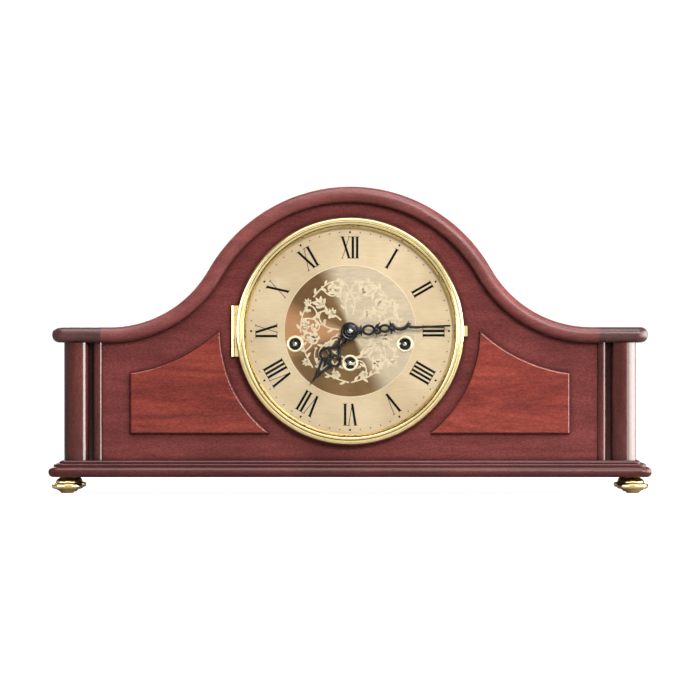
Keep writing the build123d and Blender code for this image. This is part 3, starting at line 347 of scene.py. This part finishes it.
class Solids:
    """Closed solids gathered into one mesh.

    Outlines are in dial millimetres: u across, v outwards along `turn`.
    """

    def __init__(self, turn=0.0):
        self.verts = []
        self.faces = []
        self.turn = turn
        self.lift = 0.0

    def raised(self, near):
        """Each flat solid stands a hair in front of the one before, so that no two faces lie in one plane."""
        self.lift += HAIR
        return near - self.lift

    def put(self, u, v, y):
        """One vertex, turned about the dial's centre."""
        c, s = math.cos(self.turn), math.sin(self.turn)
        x = DIAL.x + (u * c + v * s) * MM
        z = DIAL.z + (v * c - u * s) * MM
        self.verts.append((x, y, z))

    def skin(self, first, loops, size, closed=False):
        """Side faces between rings of `size` vertices, numbered on from `first`."""
        for k in range(loops if closed else loops - 1):
            a = first + k * size
            b = first + ((k + 1) % loops) * size
            for i in range(size):
                j = (i + 1) % size
                self.faces.append((a + i, a + j, b + j, b + i))

    def prism(self, outline, near, far):
        """A flat outline, drawn clockwise as seen, given thickness from near to far."""
        first, count = len(self.verts), len(outline)
        near = self.raised(near)
        for y in (near, far):
            for u, v in outline:
                self.put(u, v, y)
        self.skin(first, 2, count)
        self.faces.append(tuple(range(first + count - 1, first - 1, -1)))
        self.faces.append(tuple(range(first + count, first + 2 * count)))

    def strip(self, path, widths, near, far, chamfer=0.0, closed=False):
        """A ribbon along a path. A chamfer narrows its near face, and lets the light show its edges."""
        first, count = len(self.verts), len(path)
        near = self.raised(near)
        for k, (u, v) in enumerate(path):
            before = path[k - 1] if closed or k else path[0]
            after = path[(k + 1) % count] if closed or k < count - 1 else path[-1]
            du, dv = after[0] - before[0], after[1] - before[1]
            length = math.hypot(du, dv) or 1.0
            nu, nv = -dv / length, du / length
            half = widths[k] / 2
            top = half * (1 - chamfer)
            shoulder = near + (far - near) * 0.45 if chamfer else near
            for side, y in ((half, far), (half, shoulder), (top, near), (-top, near), (-half, shoulder),
                            (-half, far)):
                self.put(u + nu * side, v + nv * side, y)
        self.skin(first, count, 6, closed)
        if not closed:
            self.faces.append(tuple(first + i for i in reversed(range(6))))
            self.faces.append(tuple(first + (count - 1) * 6 + i for i in range(6)))

    def lathe(self, profile, centre, steps=144, axis="y"):
        """A closed profile of (radius, place along the axis) points, turned about an axis through centre."""
        first, size = len(self.verts), len(profile)
        for k in range(steps):
            a = 2 * math.pi * k / steps
            for radius, along in profile:
                across = (radius * math.sin(a), radius * math.cos(a))
                if axis == "y":
                    self.verts.append((centre.x + across[0], along, centre.z + across[1]))
                else:
                    self.verts.append((centre.x + across[0], centre.y + across[1], along))
        self.skin(first, steps, size, closed=True)

    def piece(self, name, body, slot, material, replaces=(), smooth=None, merge=True):
        """The gathered solids as one object that rides on a body."""
        mesh = bpy.data.meshes.new(name)
        mesh.from_pydata(self.verts, [], self.faces)
        mesh.validate()
        work = bmesh.new()
        work.from_mesh(mesh)
        if merge:
            bmesh.ops.remove_doubles(work, verts=work.verts, dist=0.0005 * MM)
        bmesh.ops.recalc_face_normals(work, faces=work.faces)
        work.to_mesh(mesh)
        work.free()
        if smooth is not None:
            mesh.shade_smooth()
            mesh.set_sharp_from_angle(angle=math.radians(smooth))
        made = bpy.data.objects.new(name, mesh)
        bpy.context.scene.collection.objects.link(made)
        made.data.materials.append(material)
        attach(made, body)
        if replaces:
            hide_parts(*replaces)
        return made


def softened(profile, rounds=2, closed=True):
    """A profile with its corners cut, so that turned metal shows soft edges. An open one keeps its ends."""
    for _ in range(rounds):
        cut = [] if closed else [profile[0]]
        pairs = list(zip(profile, profile[1:] + profile[:1]))
        for (r0, t0), (r1, t1) in pairs if closed else pairs[:-1]:
            cut.append((0.75 * r0 + 0.25 * r1, 0.75 * t0 + 0.25 * t1))
            cut.append((0.25 * r0 + 0.75 * r1, 0.25 * t0 + 0.75 * t1))
        profile = cut if closed else cut + [profile[-1]]
    return profile


def in_metres(profile):
    return [(r * MM, t * MM) for r, t in profile]


# ---------------------------------------------------------------- dial printing

NUMERALS = ("XII", "I", "II", "III", "IIII", "V", "VI", "VII", "VIII", "IX", "X", "XI")
NUMERAL_FOOT = 53.6
NUMERAL_HEAD = 69.8
THICK, THIN, SERIF, SERIF_REACH = 1.8, 0.45, 0.45, 0.62
ADVANCE = {"I": 3.15, "V": 7.2, "X": 7.4}
SPREAD = {"I": 0.0, "V": 2.55, "X": 2.55}
STROKES = {
    "I": ((0, 0, THICK),),
    "V": ((-1, 0, THICK), (1, 0, THIN)),
    "X": ((-1, 1, THICK), (1, -1, THIN)),
}


def letter(solids, kind, at, near, far):
    """One Roman letter: upright or slanting strokes, each with a serif at every free end."""
    for head, foot, width in STROKES[kind]:
        head_u = at + head * SPREAD[kind]
        foot_u = at + foot * SPREAD[kind]
        half = width / 2
        solids.prism([(foot_u - half, NUMERAL_FOOT), (head_u - half, NUMERAL_HEAD),
                      (head_u + half, NUMERAL_HEAD), (foot_u + half, NUMERAL_FOOT)], near, far)
        ends = [(head_u, NUMERAL_HEAD - SERIF)]
        if kind != "V":
            ends.append((foot_u, NUMERAL_FOOT))
        for u, v in ends:
            wing = half + SERIF_REACH
            solids.prism([(u - wing, v), (u - wing, v + SERIF), (u + wing, v + SERIF), (u + wing, v)],
                         near, far)


def print_numerals():
    """The twelve Roman numerals, each with its foot towards the centre."""
    solids = Solids()
    for hour, text in enumerate(NUMERALS):
        solids.turn = math.radians(30 * hour)
        at = -sum(ADVANCE[kind] for kind in text) / 2
        for kind in text:
            letter(solids, kind, at + ADVANCE[kind] / 2, DIAL_FACE - PRINT, DIAL_FACE)
            at += ADVANCE[kind]
    solids.piece("dial_numerals", "case", "hand_black", INK, merge=False)


def disc_outline(u, v, radius, count=20):
    return [(u + radius * math.sin(2 * math.pi * k / count), v + radius * math.cos(2 * math.pi * k / count))
            for k in range(count)]


def print_minute_dots():
    """Sixty marks: a black square at each hour, and small olive dots at the minutes between."""
    half, foot, head = 0.65, 72.2, 73.7
    dot_place, dot_radius = 73.1, 0.58
    hours, minutes = Solids(), Solids()
    for minute in range(60):
        solids = hours if minute % 5 == 0 else minutes
        solids.turn = math.radians(6 * minute)
        if minute % 5 == 0:
            outline = [(-half, foot), (-half, head), (half, head), (half, foot)]
        else:
            outline = disc_outline(0, dot_place, dot_radius)
        solids.prism(outline, DIAL_FACE - PRINT, DIAL_FACE)
    hours.piece("dial_hour_marks", "case", "hand_black", INK, merge=False)
    olive = Look("olive_print", {"Specular IOR Level": 0.3})
    grain = olive.noise(olive.place, 1500, 3)
    olive.colour(olive.mix(grain, rgb(0.16, 0.12, 0.05), rgb(0.26, 0.20, 0.09)))
    olive.roughness(olive.span(grain, 0, 1, 0.4, 0.6))
    minutes.piece("dial_minute_dots", "case", "hand_black", olive.material, merge=False)


# Stems of the ornament's left half: start u, v; heading in degrees from straight up; length; turn; leaves.
STEMS = (
    (-0.8, -38.0, -74, 40, 96, 6),
    (-27.5, -27.0, -30, 36, 96, 6),
    (-36.5, -1.0, 2, 33, 112, 6),
    (-27.0, 25.0, 40, 34, 128, 6),
    (-3.0, -20.0, -70, 34, 300, 3),
    (-9.0, -6.0, -104, 36, -300, 4),
    (-8.0, 1.0, -84, 34, 290, 4),
    (-6.5, 8.0, -48, 36, -300, 4),
    (-2.0, 12.0, -16, 32, 290, 4),
    (-12.0, -33.0, -2, 25, 320, 2),
    (-33.0, -15.0, 50, 26, -320, 2),
    (-35.0, 9.0, 84, 27, 320, 2),
    (-21.0, 33.0, 150, 25, -320, 2),
    (-6.0, 38.0, 190, 24, 320, 2),
    (-17.0, -14.0, 150, 18, -300, 1),
    (-24.0, 12.0, -20, 20, -310, 1),
)
LEAF_ANGLE, LEAF_LENGTH, LEAF_WIDTH = 48, 5.2, 1.9
# Blossoms: place, heading, size.
BLOSSOMS = ((-24, -5, -95, 8.5), (-20, 19, -52, 8.0), (-18, -23, -122, 8.0), (-9, 28, -24, 7.0),
            (-31, 4, -60, 5.5), (-9.5, -30.5, -160, 6.0), (-12, 12, -48, 6.0), (-14, -10, -110, 5.5),
            (-31, -22, -130, 5.0), (-30, 20, -50, 5.0))


def scroll_path(u, v, heading, length, turn, count=30):
    """A stem that starts straight and turns ever faster towards its end."""
    path = [(u, v)]
    angle = math.radians(heading)
    weights = [(k / count) ** 1.3 for k in range(1, count + 1)]
    total = sum(weights)
    for weight in weights:
        angle += math.radians(turn) * weight / total
        u += math.sin(angle) * length / count
        v += math.cos(angle) * length / count
        path.append((u, v))
    return path


def leaf(solids, u, v, heading, length, width, near, far, count=8):
    """A pointed leaf that swells and tapers along a slightly bent rib."""
    path = scroll_path(u, v, heading, length, 28, count)
    swell = [math.sin(math.pi * (0.08 + 0.92 * k / count)) for k in range(count + 1)]
    widths = [max(0.12, width * share ** 0.8) for share in swell]
    solids.strip(path, widths, near, far)


def stem(solids, u, v, heading, length, turn, leaves, near, far):
    """A tapering scroll that ends in a bead, with leaves to either side in turn."""
    path = scroll_path(u, v, heading, length, turn)
    widths = [1.15 - 0.5 * k / (len(path) - 1) for k in range(len(path))]
    solids.strip(path, widths, near, far)
    end_u, end_v = path[-1]
    solids.prism(disc_outline(end_u, end_v, 1.0, 14), near, far)
    for k in range(leaves):
        place = int((k + 0.7) / leaves * (len(path) - 6))
        (u0, v0), (u1, v1) = path[place], path[place + 1]
        along = math.degrees(math.atan2(u1 - u0, v1 - v0))
        way = 1 if k % 2 else -1
        leaf(solids, u0, v0, along + way * LEAF_ANGLE, LEAF_LENGTH - 0.5 * k, LEAF_WIDTH, near, far)


def blossom(solids, u, v, heading, size, near, far):
    """Five leaves spread like a fan round a bead."""
    for bend, share in ((-62, 0.7), (-30, 0.92), (0, 1.0), (30, 0.92), (62, 0.7)):
        leaf(solids, u, v, heading + bend, size * share, size * 0.36, near, far)
    solids.prism(disc_outline(u, v, size * 0.2, 14), near, far)


def print_ornament():
    """Symmetric scrollwork of the centre disc, the left half and its mirror image."""
    for side, label in ((1, "left"), (-1, "right")):
        solids = Solids()
        near, far = DIAL_FACE - PRINT, DIAL_FACE
        for u, v, heading, length, turn, leaves in STEMS:
            stem(solids, u * side, v, heading * side, length, turn * side, leaves, near, far)
        for u, v, heading, size in BLOSSOMS:
            blossom(solids, u * side, v, heading * side, size, near, far)
        solids.piece("dial_scrollwork_" + label, "case", "dial_gold", GILT, merge=False)
    base, crest = DIAL_FACE, DIAL_FACE - 0.1 * MM
    inner, outer = DISC_RADIUS - 0.3 * MM, DISC_RADIUS + 0.3 * MM
    rim = Solids()
    rim.lathe(softened([(inner, base), (inner, crest), (outer, crest), (outer, base)], 1), DIAL)
    rim.piece("dial_centre_rim", "case", "dial_gold", GILT, smooth=40)


# ---------------------------------------------------------------- hands

def arc(u, v, radius, start, end, count=24):
    """Points of an arc about (u, v); angles in degrees clockwise from the hand's direction."""
    angles = [math.radians(start + (end - start) * k / count) for k in range(count + 1)]
    return [(u + radius * math.sin(a), v + radius * math.cos(a)) for a in angles]


def loop(u, v, half_wide, half_long, count=40):
    """Points of an oval about (u, v)."""
    angles = [2 * math.pi * k / count for k in range(count)]
    return [(u + half_wide * math.sin(a), v + half_long * math.cos(a)) for a in angles]


# How much wider every line of a hand is than its drawing says, and the share of a line that its bevels take.
BOLD = 1.7
BEVEL = 0.35


class Hand(Solids):
    """A pierced hand drawn pointing along v, cut from sheet with bevelled edges."""

    def __init__(self, node):
        super().__init__(hand_angle(node))
        self.near, self.far = front(node), back(node)

    def line(self, path, start, end, closed=False):
        """A line whose width goes evenly from start to end."""
        last = max(1, len(path) - 1)
        widths = [BOLD * (start + (end - start) * k / last) for k in range(len(path))]
        self.strip(path, widths, self.near, self.far, BEVEL, closed)

    def ring(self, u, v, half_wide, half_long, width):
        self.line(loop(u, v, half_wide, half_long), width, width, True)

    def spike(self, u, v, tip_u, tip_v, width):
        """A leaf-shaped spike from a root to a tip."""
        steps = (0, 0.3, 0.6, 0.85, 1)
        shares = (0.8, 1.0, 0.75, 0.4, 0.12)
        path = [(u + (tip_u - u) * t, v + (tip_v - v) * t) for t in steps]
        self.strip(path, [width * s for s in shares], self.near, self.far, BEVEL)

    def knob(self, u, v, radius):
        """A round bead."""
        path = [(u, v + radius * s) for s in (-0.92, -0.5, 0, 0.5, 0.92)]
        widths = [radius * s for s in (0.8, 1.73, 2, 1.73, 0.8)]
        self.strip(path, widths, self.near, self.far, 0.3)

    def hub(self, profile):
        self.lathe(in_metres(profile), DIAL, 72)


def minute_hand():
    """Hub, two pierced ovals with flourishes, a crescent and a long pointer."""
    hand = Hand("minute_hand")
    hand.line([(0, 4.5), (0, 7), (0, 9.8)], 4.2, 2.0)
    hand.spike(-1, 8.1, -4.3, 8.3, 1.5)
    hand.spike(1, 8.1, 4.3, 8.3, 1.5)
    hand.ring(0, 13.8, 3.2, 4.2, 1.1)
    for v in (12.2, 15.4):
        hand.knob(-3.0, v, 0.95)
    for tip_u, tip_v in ((-5.6, 22.6), (-4.4, 20.4), (-3.0, 23.4), (4.8, 19.6)):
        hand.spike(0, 18.4, tip_u, tip_v, 1.9)
    hand.knob(0, 18.8, 1.9)
    hand.line([(2.6, 19.5), (2.2, 21.8), (0.4, 23.2)], 1.5, 1.1)
    hand.ring(-0.5, 25.6, 2.4, 3.5, 1.1)
    for tip_u, tip_v in ((-5.9, 29.8), (4.1, 30.6), (2.6, 33.8)):
        hand.spike(-0.2, 30.6, tip_u, tip_v, 2.1)
    hand.knob(-0.2, 30.4, 1.7)
    hand.line(arc(-6.6, 37.4, 7.1, 158, 28), 1.7, 1.5)
    for tip_u, tip_v in ((-5.0, 43.6), (-3.7, 45.4)):
        hand.spike(-1.6, 42.4, tip_u, tip_v, 1.6)
    hand.line([(-1.9, 42.6), (-0.6, 45.0), (-0.1, 49), (0, 60), (0, 74.2)], 1.5, 0.85)
    y = hand.far / MM
    hand.hub([(2.0, y), (6.4, y), (6.6, y - 0.3), (6.6, y - 1.1), (5.9, y - 1.35), (5.1, y - 1.1),
              (4.5, y - 1.3), (4.3, y - 1.9), (3.7, y - 2.1), (3.1, y - 1.8), (2.7, y - 1.9), (2.0, y - 2.4)])
    hand.piece("minute_hand_pierced", "minute", "hand_black", BLACK, ("minute_hand",), smooth=35)


def hour_hand():
    """An oval, two rings side by side on curved arms, and a kite that ends in the pointer."""
    hand = Hand("hour_hand")
    hand.ring(0, 8.7, 2.0, 3.9, 1.1)
    for side in (-1, 1):
        hand.spike(side * 1.4, 9.2, side * 4.3, 9.6, 1.5)
        hand.spike(side * 0.4, 13.6, side * 3.2, 15.4, 1.7)
        hand.line([(side * 0.4, 13.2), (side * 2.6, 17.0), (side * 4.6, 19.4)], 1.5, 1.3)
        hand.knob(side * 4.9, 20.0, 1.8)
        hand.ring(side * 4.35, 24.3, 3.85, 3.85, 1.15)
        hand.line([(side * 3.9, 28.4), (side * 0.7, 39.6)], 1.25, 1.15)
        hand.spike(side * 1.2, 28.4, side * 5.8, 30.2, 1.5)
    hand.knob(0, 26.6, 1.6)
    hand.spike(0, 26, 0, 33.5, 2.6)
    hand.line([(0, 37.6), (0, 41.0), (0, 49.3)], 1.9, 0.3)
    y = hand.far / MM
    hand.hub([(3.0, y), (5.4, y), (5.4, y - 0.5), (5.1, y - 0.7), (3.0, y - 0.7)])
    hand.piece("hour_hand_pierced", "hour", "hand_black", BLACK, ("hour_hand",), smooth=35)


def centre_nut():
    """The domed nut that holds the hands."""
    radius, rise = 2.1, 1.3
    low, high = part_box("hand_nut")
    apex, foot = low.y / MM, high.y / MM
    angles = [math.radians(15 * k) for k in range(1, 7)]
    dome = [(0, apex)] + [(radius * math.sin(a), apex + rise * (1 - math.cos(a))) for a in angles]
    nut = Solids()
    nut.lathe(in_metres(dome + [(radius, foot - 0.9), (radius - 0.1, foot), (0, foot)]), DIAL, 48)
    nut.piece("hand_nut_dome", "minute", "bright_brass", STEEL, ("hand_nut",), smooth=40)


# ---------------------------------------------------------------- turned brass

def bezel():
    """The turned bezel ring: an outer and an inner band, a slope down to the glass, and the finger tab."""
    low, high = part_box("bezel_ring")
    pane, rim = reach("bezel_glass") / MM, (DIAL.x - low.x) / MM
    face, seat = low.y / MM, high.y / MM
    bands = [(rim, seat), (rim, seat - 3.5), (rim - 0.4, seat - 4.7), (rim - 1.3, seat - 5.5),
             (rim - 2.4, seat - 5.8), (rim - 3.1, seat - 5.6), (rim - 3.4, seat - 5.6),
             (rim - 3.5, seat - 6.6), (rim - 4.2, face), (rim - 5.1, face + 0.15)]
    slope = [(pane + 0.2, seat - 7.0), (pane + 0.2, seat - 5.35), (pane - 0.7, seat - 5.35),
             (pane - 1.9, seat - 4.6), (pane - 2.9, seat - 3.2), (pane - 3.5, seat - 1.6)]
    ring = Solids()
    ring.lathe(softened(in_metres([(pane - 3.7, seat)] + bands + slope), 1), DIAL, 256)
    half, root, end, corner = 3.9, 83.6, 86.7, 0.5
    ring.turn = math.radians(90)
    ring.prism([(-half, root), (-half, end - corner), (corner - half, end), (half - corner, end),
                (half, end - corner), (half, root)], (seat - 2.6) * MM, (seat - 0.7) * MM)
    ring.piece("bezel_ring_turned", "bezel", "polished_brass", POLISHED_BRASS, ("bezel_ring",), smooth=30)


# Radius and height of the foot's outline, from the floor up.
FOOT_PROFILE = ((0, 0), (4.0, 0), (4.7, 0.5), (5.7, 1.6), (8.4, 2.9), (10.3, 3.3), (11.6, 3.8), (11.6, 6.6),
                (10.3, 7.1), (8.7, 7.2), (8.6, 8.4), (8.0, 9.7), (6.8, 10.7), (5.8, 11.2), (5.6, 11.8),
                (0, 11.8))


def feet():
    """Four turned feet: a disc between a dome and a bun, with soft edges."""
    low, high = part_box("brass_feet")
    span = max(radius for radius, _ in FOOT_PROFILE) * MM
    rims = softened(in_metres(FOOT_PROFILE), 2, closed=False)
    feet_made = Solids()
    for x in (low.x + span, high.x - span):
        for y in (low.y + span, high.y - span):
            feet_made.lathe(rims, Vector((x, y, 0)), 72, "z")
    feet_made.piece("brass_feet_turned", "case", "bright_brass", FOOT_BRASS, ("brass_feet",), smooth=35)


def arbor_boss(train, at):
    """The bright rounded end of a winding arbor."""
    radius, rise = 1.3, 0.55
    nose = front(train + "_winding_arbor") / MM
    angles = [math.radians(15 * k) for k in range(6)]
    dome = [(radius * math.cos(a), nose - rise * math.sin(a)) for a in angles]
    tip = Solids()
    tip.lathe(in_metres([(0, nose)] + dome + [(0, nose - rise)]), at, 32)
    tip.piece(train + "_arbor_boss", train + "_arbor", "steel", BRIGHT_BRASS, smooth=40)


def grommets():
    """Brass rings round the winding holes, each with a black ring of painted shade behind it and a bright
    arbor end in it.
    """
    face, seat, dial = front("winding_grommets") / MM, back("winding_grommets") / MM, DIAL_FACE / MM
    ring = [(4.3, seat), (4.3, face + 0.5), (4.6, face + 0.1), (5.3, face), (6.0, face + 0.2),
            (6.3, face + 0.8), (6.3, dial), (4.9, dial), (4.9, seat)]
    # painted shade: a black ring behind each hole, where the inside of the hole lies in shade
    shade_profile = [(3.1, seat - 0.6), (4.28, seat - 0.6), (4.28, seat), (3.1, seat)]
    rings, shade_rings = Solids(), Solids()
    for train in ("strike", "time", "chime"):
        at = middle(train + "_winding_arbor")
        rings.lathe(softened(in_metres(ring), 1), at, 64)
        shade_rings.lathe(in_metres(shade_profile), at, 48)
        arbor_boss(train, at)
    rings.piece("winding_grommet_rings", "case", "polished_brass", GROMMET_BRASS, ("winding_grommets",),
                smooth=40)
    shade_rings.piece("winding_hole_painted_shade", "case", "hand_black", BLACK, smooth=40)


# ---------------------------------------------------------------- materials for the CAD nodes

def dress():
    """Gives each CAD node its material."""
    woods = {
        PANEL_WOOD: ("front_panel",),
        RAISED_WOOD: ("left_raised_panel", "right_raised_panel"),
        CASE_WOOD: ("top_arch",),
        BASE_WOOD: ("base_board", "base_moulding"),
        POST_WOOD: ("corner_posts",),
        CAP_WOOD: ("left_shoulder_cap", "right_shoulder_cap"),
        SIDE_WOOD: ("side_panels",),
        REAR_WOOD: ("rear_frame", "rear_door"),
    }
    metals = {
        POLISHED_BRASS: ("bezel_hinge_case_leaf", "bezel_hinge_ring_leaf", "rear_door_knob",
                         "rear_hinge_frame_leaves", "rear_hinge_door_leaves"),
        PLATE_BRASS: ("front_plate", "back_plate", "balance_cock", "hammer_frame"),
        WHEEL_BRASS: ("intermediate_wheel", "third_wheel", "escape_wheel", "minute_wheel", "hour_wheel",
                      "strike_wheel", "chime_wheel", "chime_drum", "balance_wheel",
                      "strike_barrel", "time_barrel", "chime_barrel"),
        STEEL: ("plate_pillars", "centre_arbor", "pallet_lever", "strike_click", "time_click", "chime_click",
                "chime_rods"),
        SHADED_ARBOR_STEEL: ("strike_winding_arbor", "time_winding_arbor", "chime_winding_arbor"),
        SPRING_STEEL: ("strike_mainspring", "time_mainspring", "chime_mainspring"),
        IRON: ("rod_block",),
        DIAL_METAL: ("dial_plate",),
        GLASS: ("bezel_glass",),
        BRIGHT_BRASS: tuple("hammer_%d" % k for k in range(1, 6)),
    }
    for looks in (woods, metals):
        for material, names in looks.items():
            for name in names:
                for place in NODES[name].material_slots:
                    place.material = material


# ---------------------------------------------------------------- studio

WIDTH = cad_box[1][0] - cad_box[0][0]
VIEW_DISTANCE = 9.0
VIEW_WIDTH = 1.161 * WIDTH
EYE_HEIGHT = 0.467 * cad_box[1][2]
SENSOR = 36.0


def area_light(name, place, aim, width, height, power, colour=(1, 1, 1)):
    """A rectangular lamp at a place, turned towards a point, with its size in metres and power in watts."""
    lamp = bpy.data.lights.new(name, "AREA")
    lamp.shape = "RECTANGLE"
    lamp.size, lamp.size_y = width, height
    lamp.energy = power
    lamp.color = colour
    made = bpy.data.objects.new(name, lamp)
    made.location = place
    made.rotation_euler = (Vector(aim) - Vector(place)).to_track_quat("-Z", "Y").to_euler()
    bpy.context.scene.collection.objects.link(made)
    return made


def link_light(source, names, state="INCLUDE"):
    """A lamp or glowing surface lights only the named objects, or with EXCLUDE all but them."""
    listed = bpy.data.collections.new("linked_to_" + source.name)
    for name in names:
        listed.objects.link(bpy.data.objects[name])
    for entry in listed.collection_objects:
        entry.light_linking.link_state = state
    source.light_linking.receiver_collection = listed


def backdrop():
    """A seamless white sweep: the floor, a quarter round and the wall behind. Its glow lights only itself."""
    wide, ahead, behind, bend, tall = 16.0, -14.0, 13.5, 1.5, 6.0
    line = [(ahead, 0.0), (behind, 0.0)]
    line += [(behind + bend * math.sin(a), bend * (1 - math.cos(a)))
             for a in (math.radians(7.5 * k) for k in range(1, 13))]
    line.append((behind + bend, tall))
    verts = [(x, y, z) for y, z in line for x in (-wide, wide)]
    faces = [(2 * k, 2 * k + 1, 2 * k + 3, 2 * k + 2) for k in range(len(line) - 1)]
    mesh = bpy.data.meshes.new("studio_sweep")
    mesh.from_pydata(verts, [], faces)
    mesh.shade_smooth()
    sweep = bpy.data.objects.new("studio_sweep", mesh)
    bpy.context.scene.collection.objects.link(sweep)
    sweep.data.materials.append(studio_white("studio_white"))
    link_light(sweep, [sweep.name])


def studio_air():
    """Dim in front of the clock, where the dark room is, and paler to the sides, above and behind."""
    world = bpy.data.worlds.new("studio_air")
    world.use_nodes = True
    tree = world.node_tree
    way = tree.nodes.new("ShaderNodeTexCoord").outputs["Generated"]
    parts = tree.nodes.new("ShaderNodeSeparateXYZ")
    tree.links.new(way, parts.inputs[0])
    pale = tree.nodes.new("ShaderNodeMapRange")
    pale.interpolation_type = "SMOOTHSTEP"
    tree.links.new(parts.outputs["Y"], pale.inputs["Value"])
    for label, value in {"From Min": -0.97, "From Max": -0.5, "To Min": 0.07, "To Max": 0.34}.items():
        pale.inputs[label].default_value = value
    tree.links.new(pale.outputs["Result"], tree.nodes["Background"].inputs["Strength"])
    tree.nodes["Background"].inputs["Color"].default_value = rgb(0.97, 0.98, 1.0)
    return world


BRIGHT_PIECES = ("bezel_ring_turned", "bezel_hinge_case_leaf", "bezel_hinge_ring_leaf", "brass_feet_turned",
                 "winding_grommet_rings")
# Lamps for the polished brass alone: place, width, height and the brightness its reflection has.
BRASS_LAMPS = (
    ("brass_front", (0, -3.6, 0.6), 3.5, 2.0, 0.8),
    ("brass_left", (-1.3, -1.1, 0.3), 1.8, 0.8, 4.0),
    ("brass_right", (1.3, -1.1, 0.3), 1.4, 0.8, 4.0),
    ("brass_top", (0.3, -1.4, 1.5), 2.4, 1.2, 2.4),
)


def studio():
    """Backdrop, dim air and lamps. The side card shows only in the lacquer's gloss."""
    scene = bpy.context.scene
    scene.view_settings.view_transform = "Standard"
    scene.world = studio_air()
    backdrop()
    key = area_light("key", (0.9, -2.7, 1.5), (0, 0, 0.12), 1.4, 1.0, 88)
    side_card = area_light("side_card", (0.525, 0.01, 0.14), (-0.5, 0.23, 0.14), 0.9, 0.42, 7.5,
                           (1.0, 0.92, 0.84))
    side_card.visible_diffuse = False
    area_light("side_fill", (1.6, -0.2, 0.3), (0, -0.1, 0.12), 1.4, 0.6, 22)
    area_light("back_fill", (-0.9, 2.6, 1.4), (0, 0, 0.1), 1.4, 1.0, 40)
    top_soft = area_light("top_soft", (0.1, -0.7, 1.9), (0, 0, 0.1), 1.8, 1.2, 40)
    for lamp in (key, top_soft, side_card):
        link_light(lamp, BRIGHT_PIECES, "EXCLUDE")
    for name, place, width, height, glow in BRASS_LAMPS:
        card = area_light(name, place, (0, -0.05, 0.12), width, height, glow * math.pi * width * height)
        link_light(card, BRIGHT_PIECES)


def camera():
    """A long lens straight in front, framed on the front panel as the photograph is."""
    view = bpy.data.objects.new("camera", bpy.data.cameras.new("camera"))
    front_face = front("front_panel")
    view.data.sensor_width = SENSOR
    view.data.lens = SENSOR * (VIEW_DISTANCE + front_face) / VIEW_WIDTH
    view.location = (0, -VIEW_DISTANCE, EYE_HEIGHT)
    view.rotation_euler = (math.radians(90), 0, 0)
    bpy.context.scene.collection.objects.link(view)
    bpy.context.scene.camera = view


camera()
dress()
print_numerals()
print_minute_dots()
print_ornament()
hour_hand()
minute_hand()
centre_nut()
bezel()
feet()
grommets()
studio()
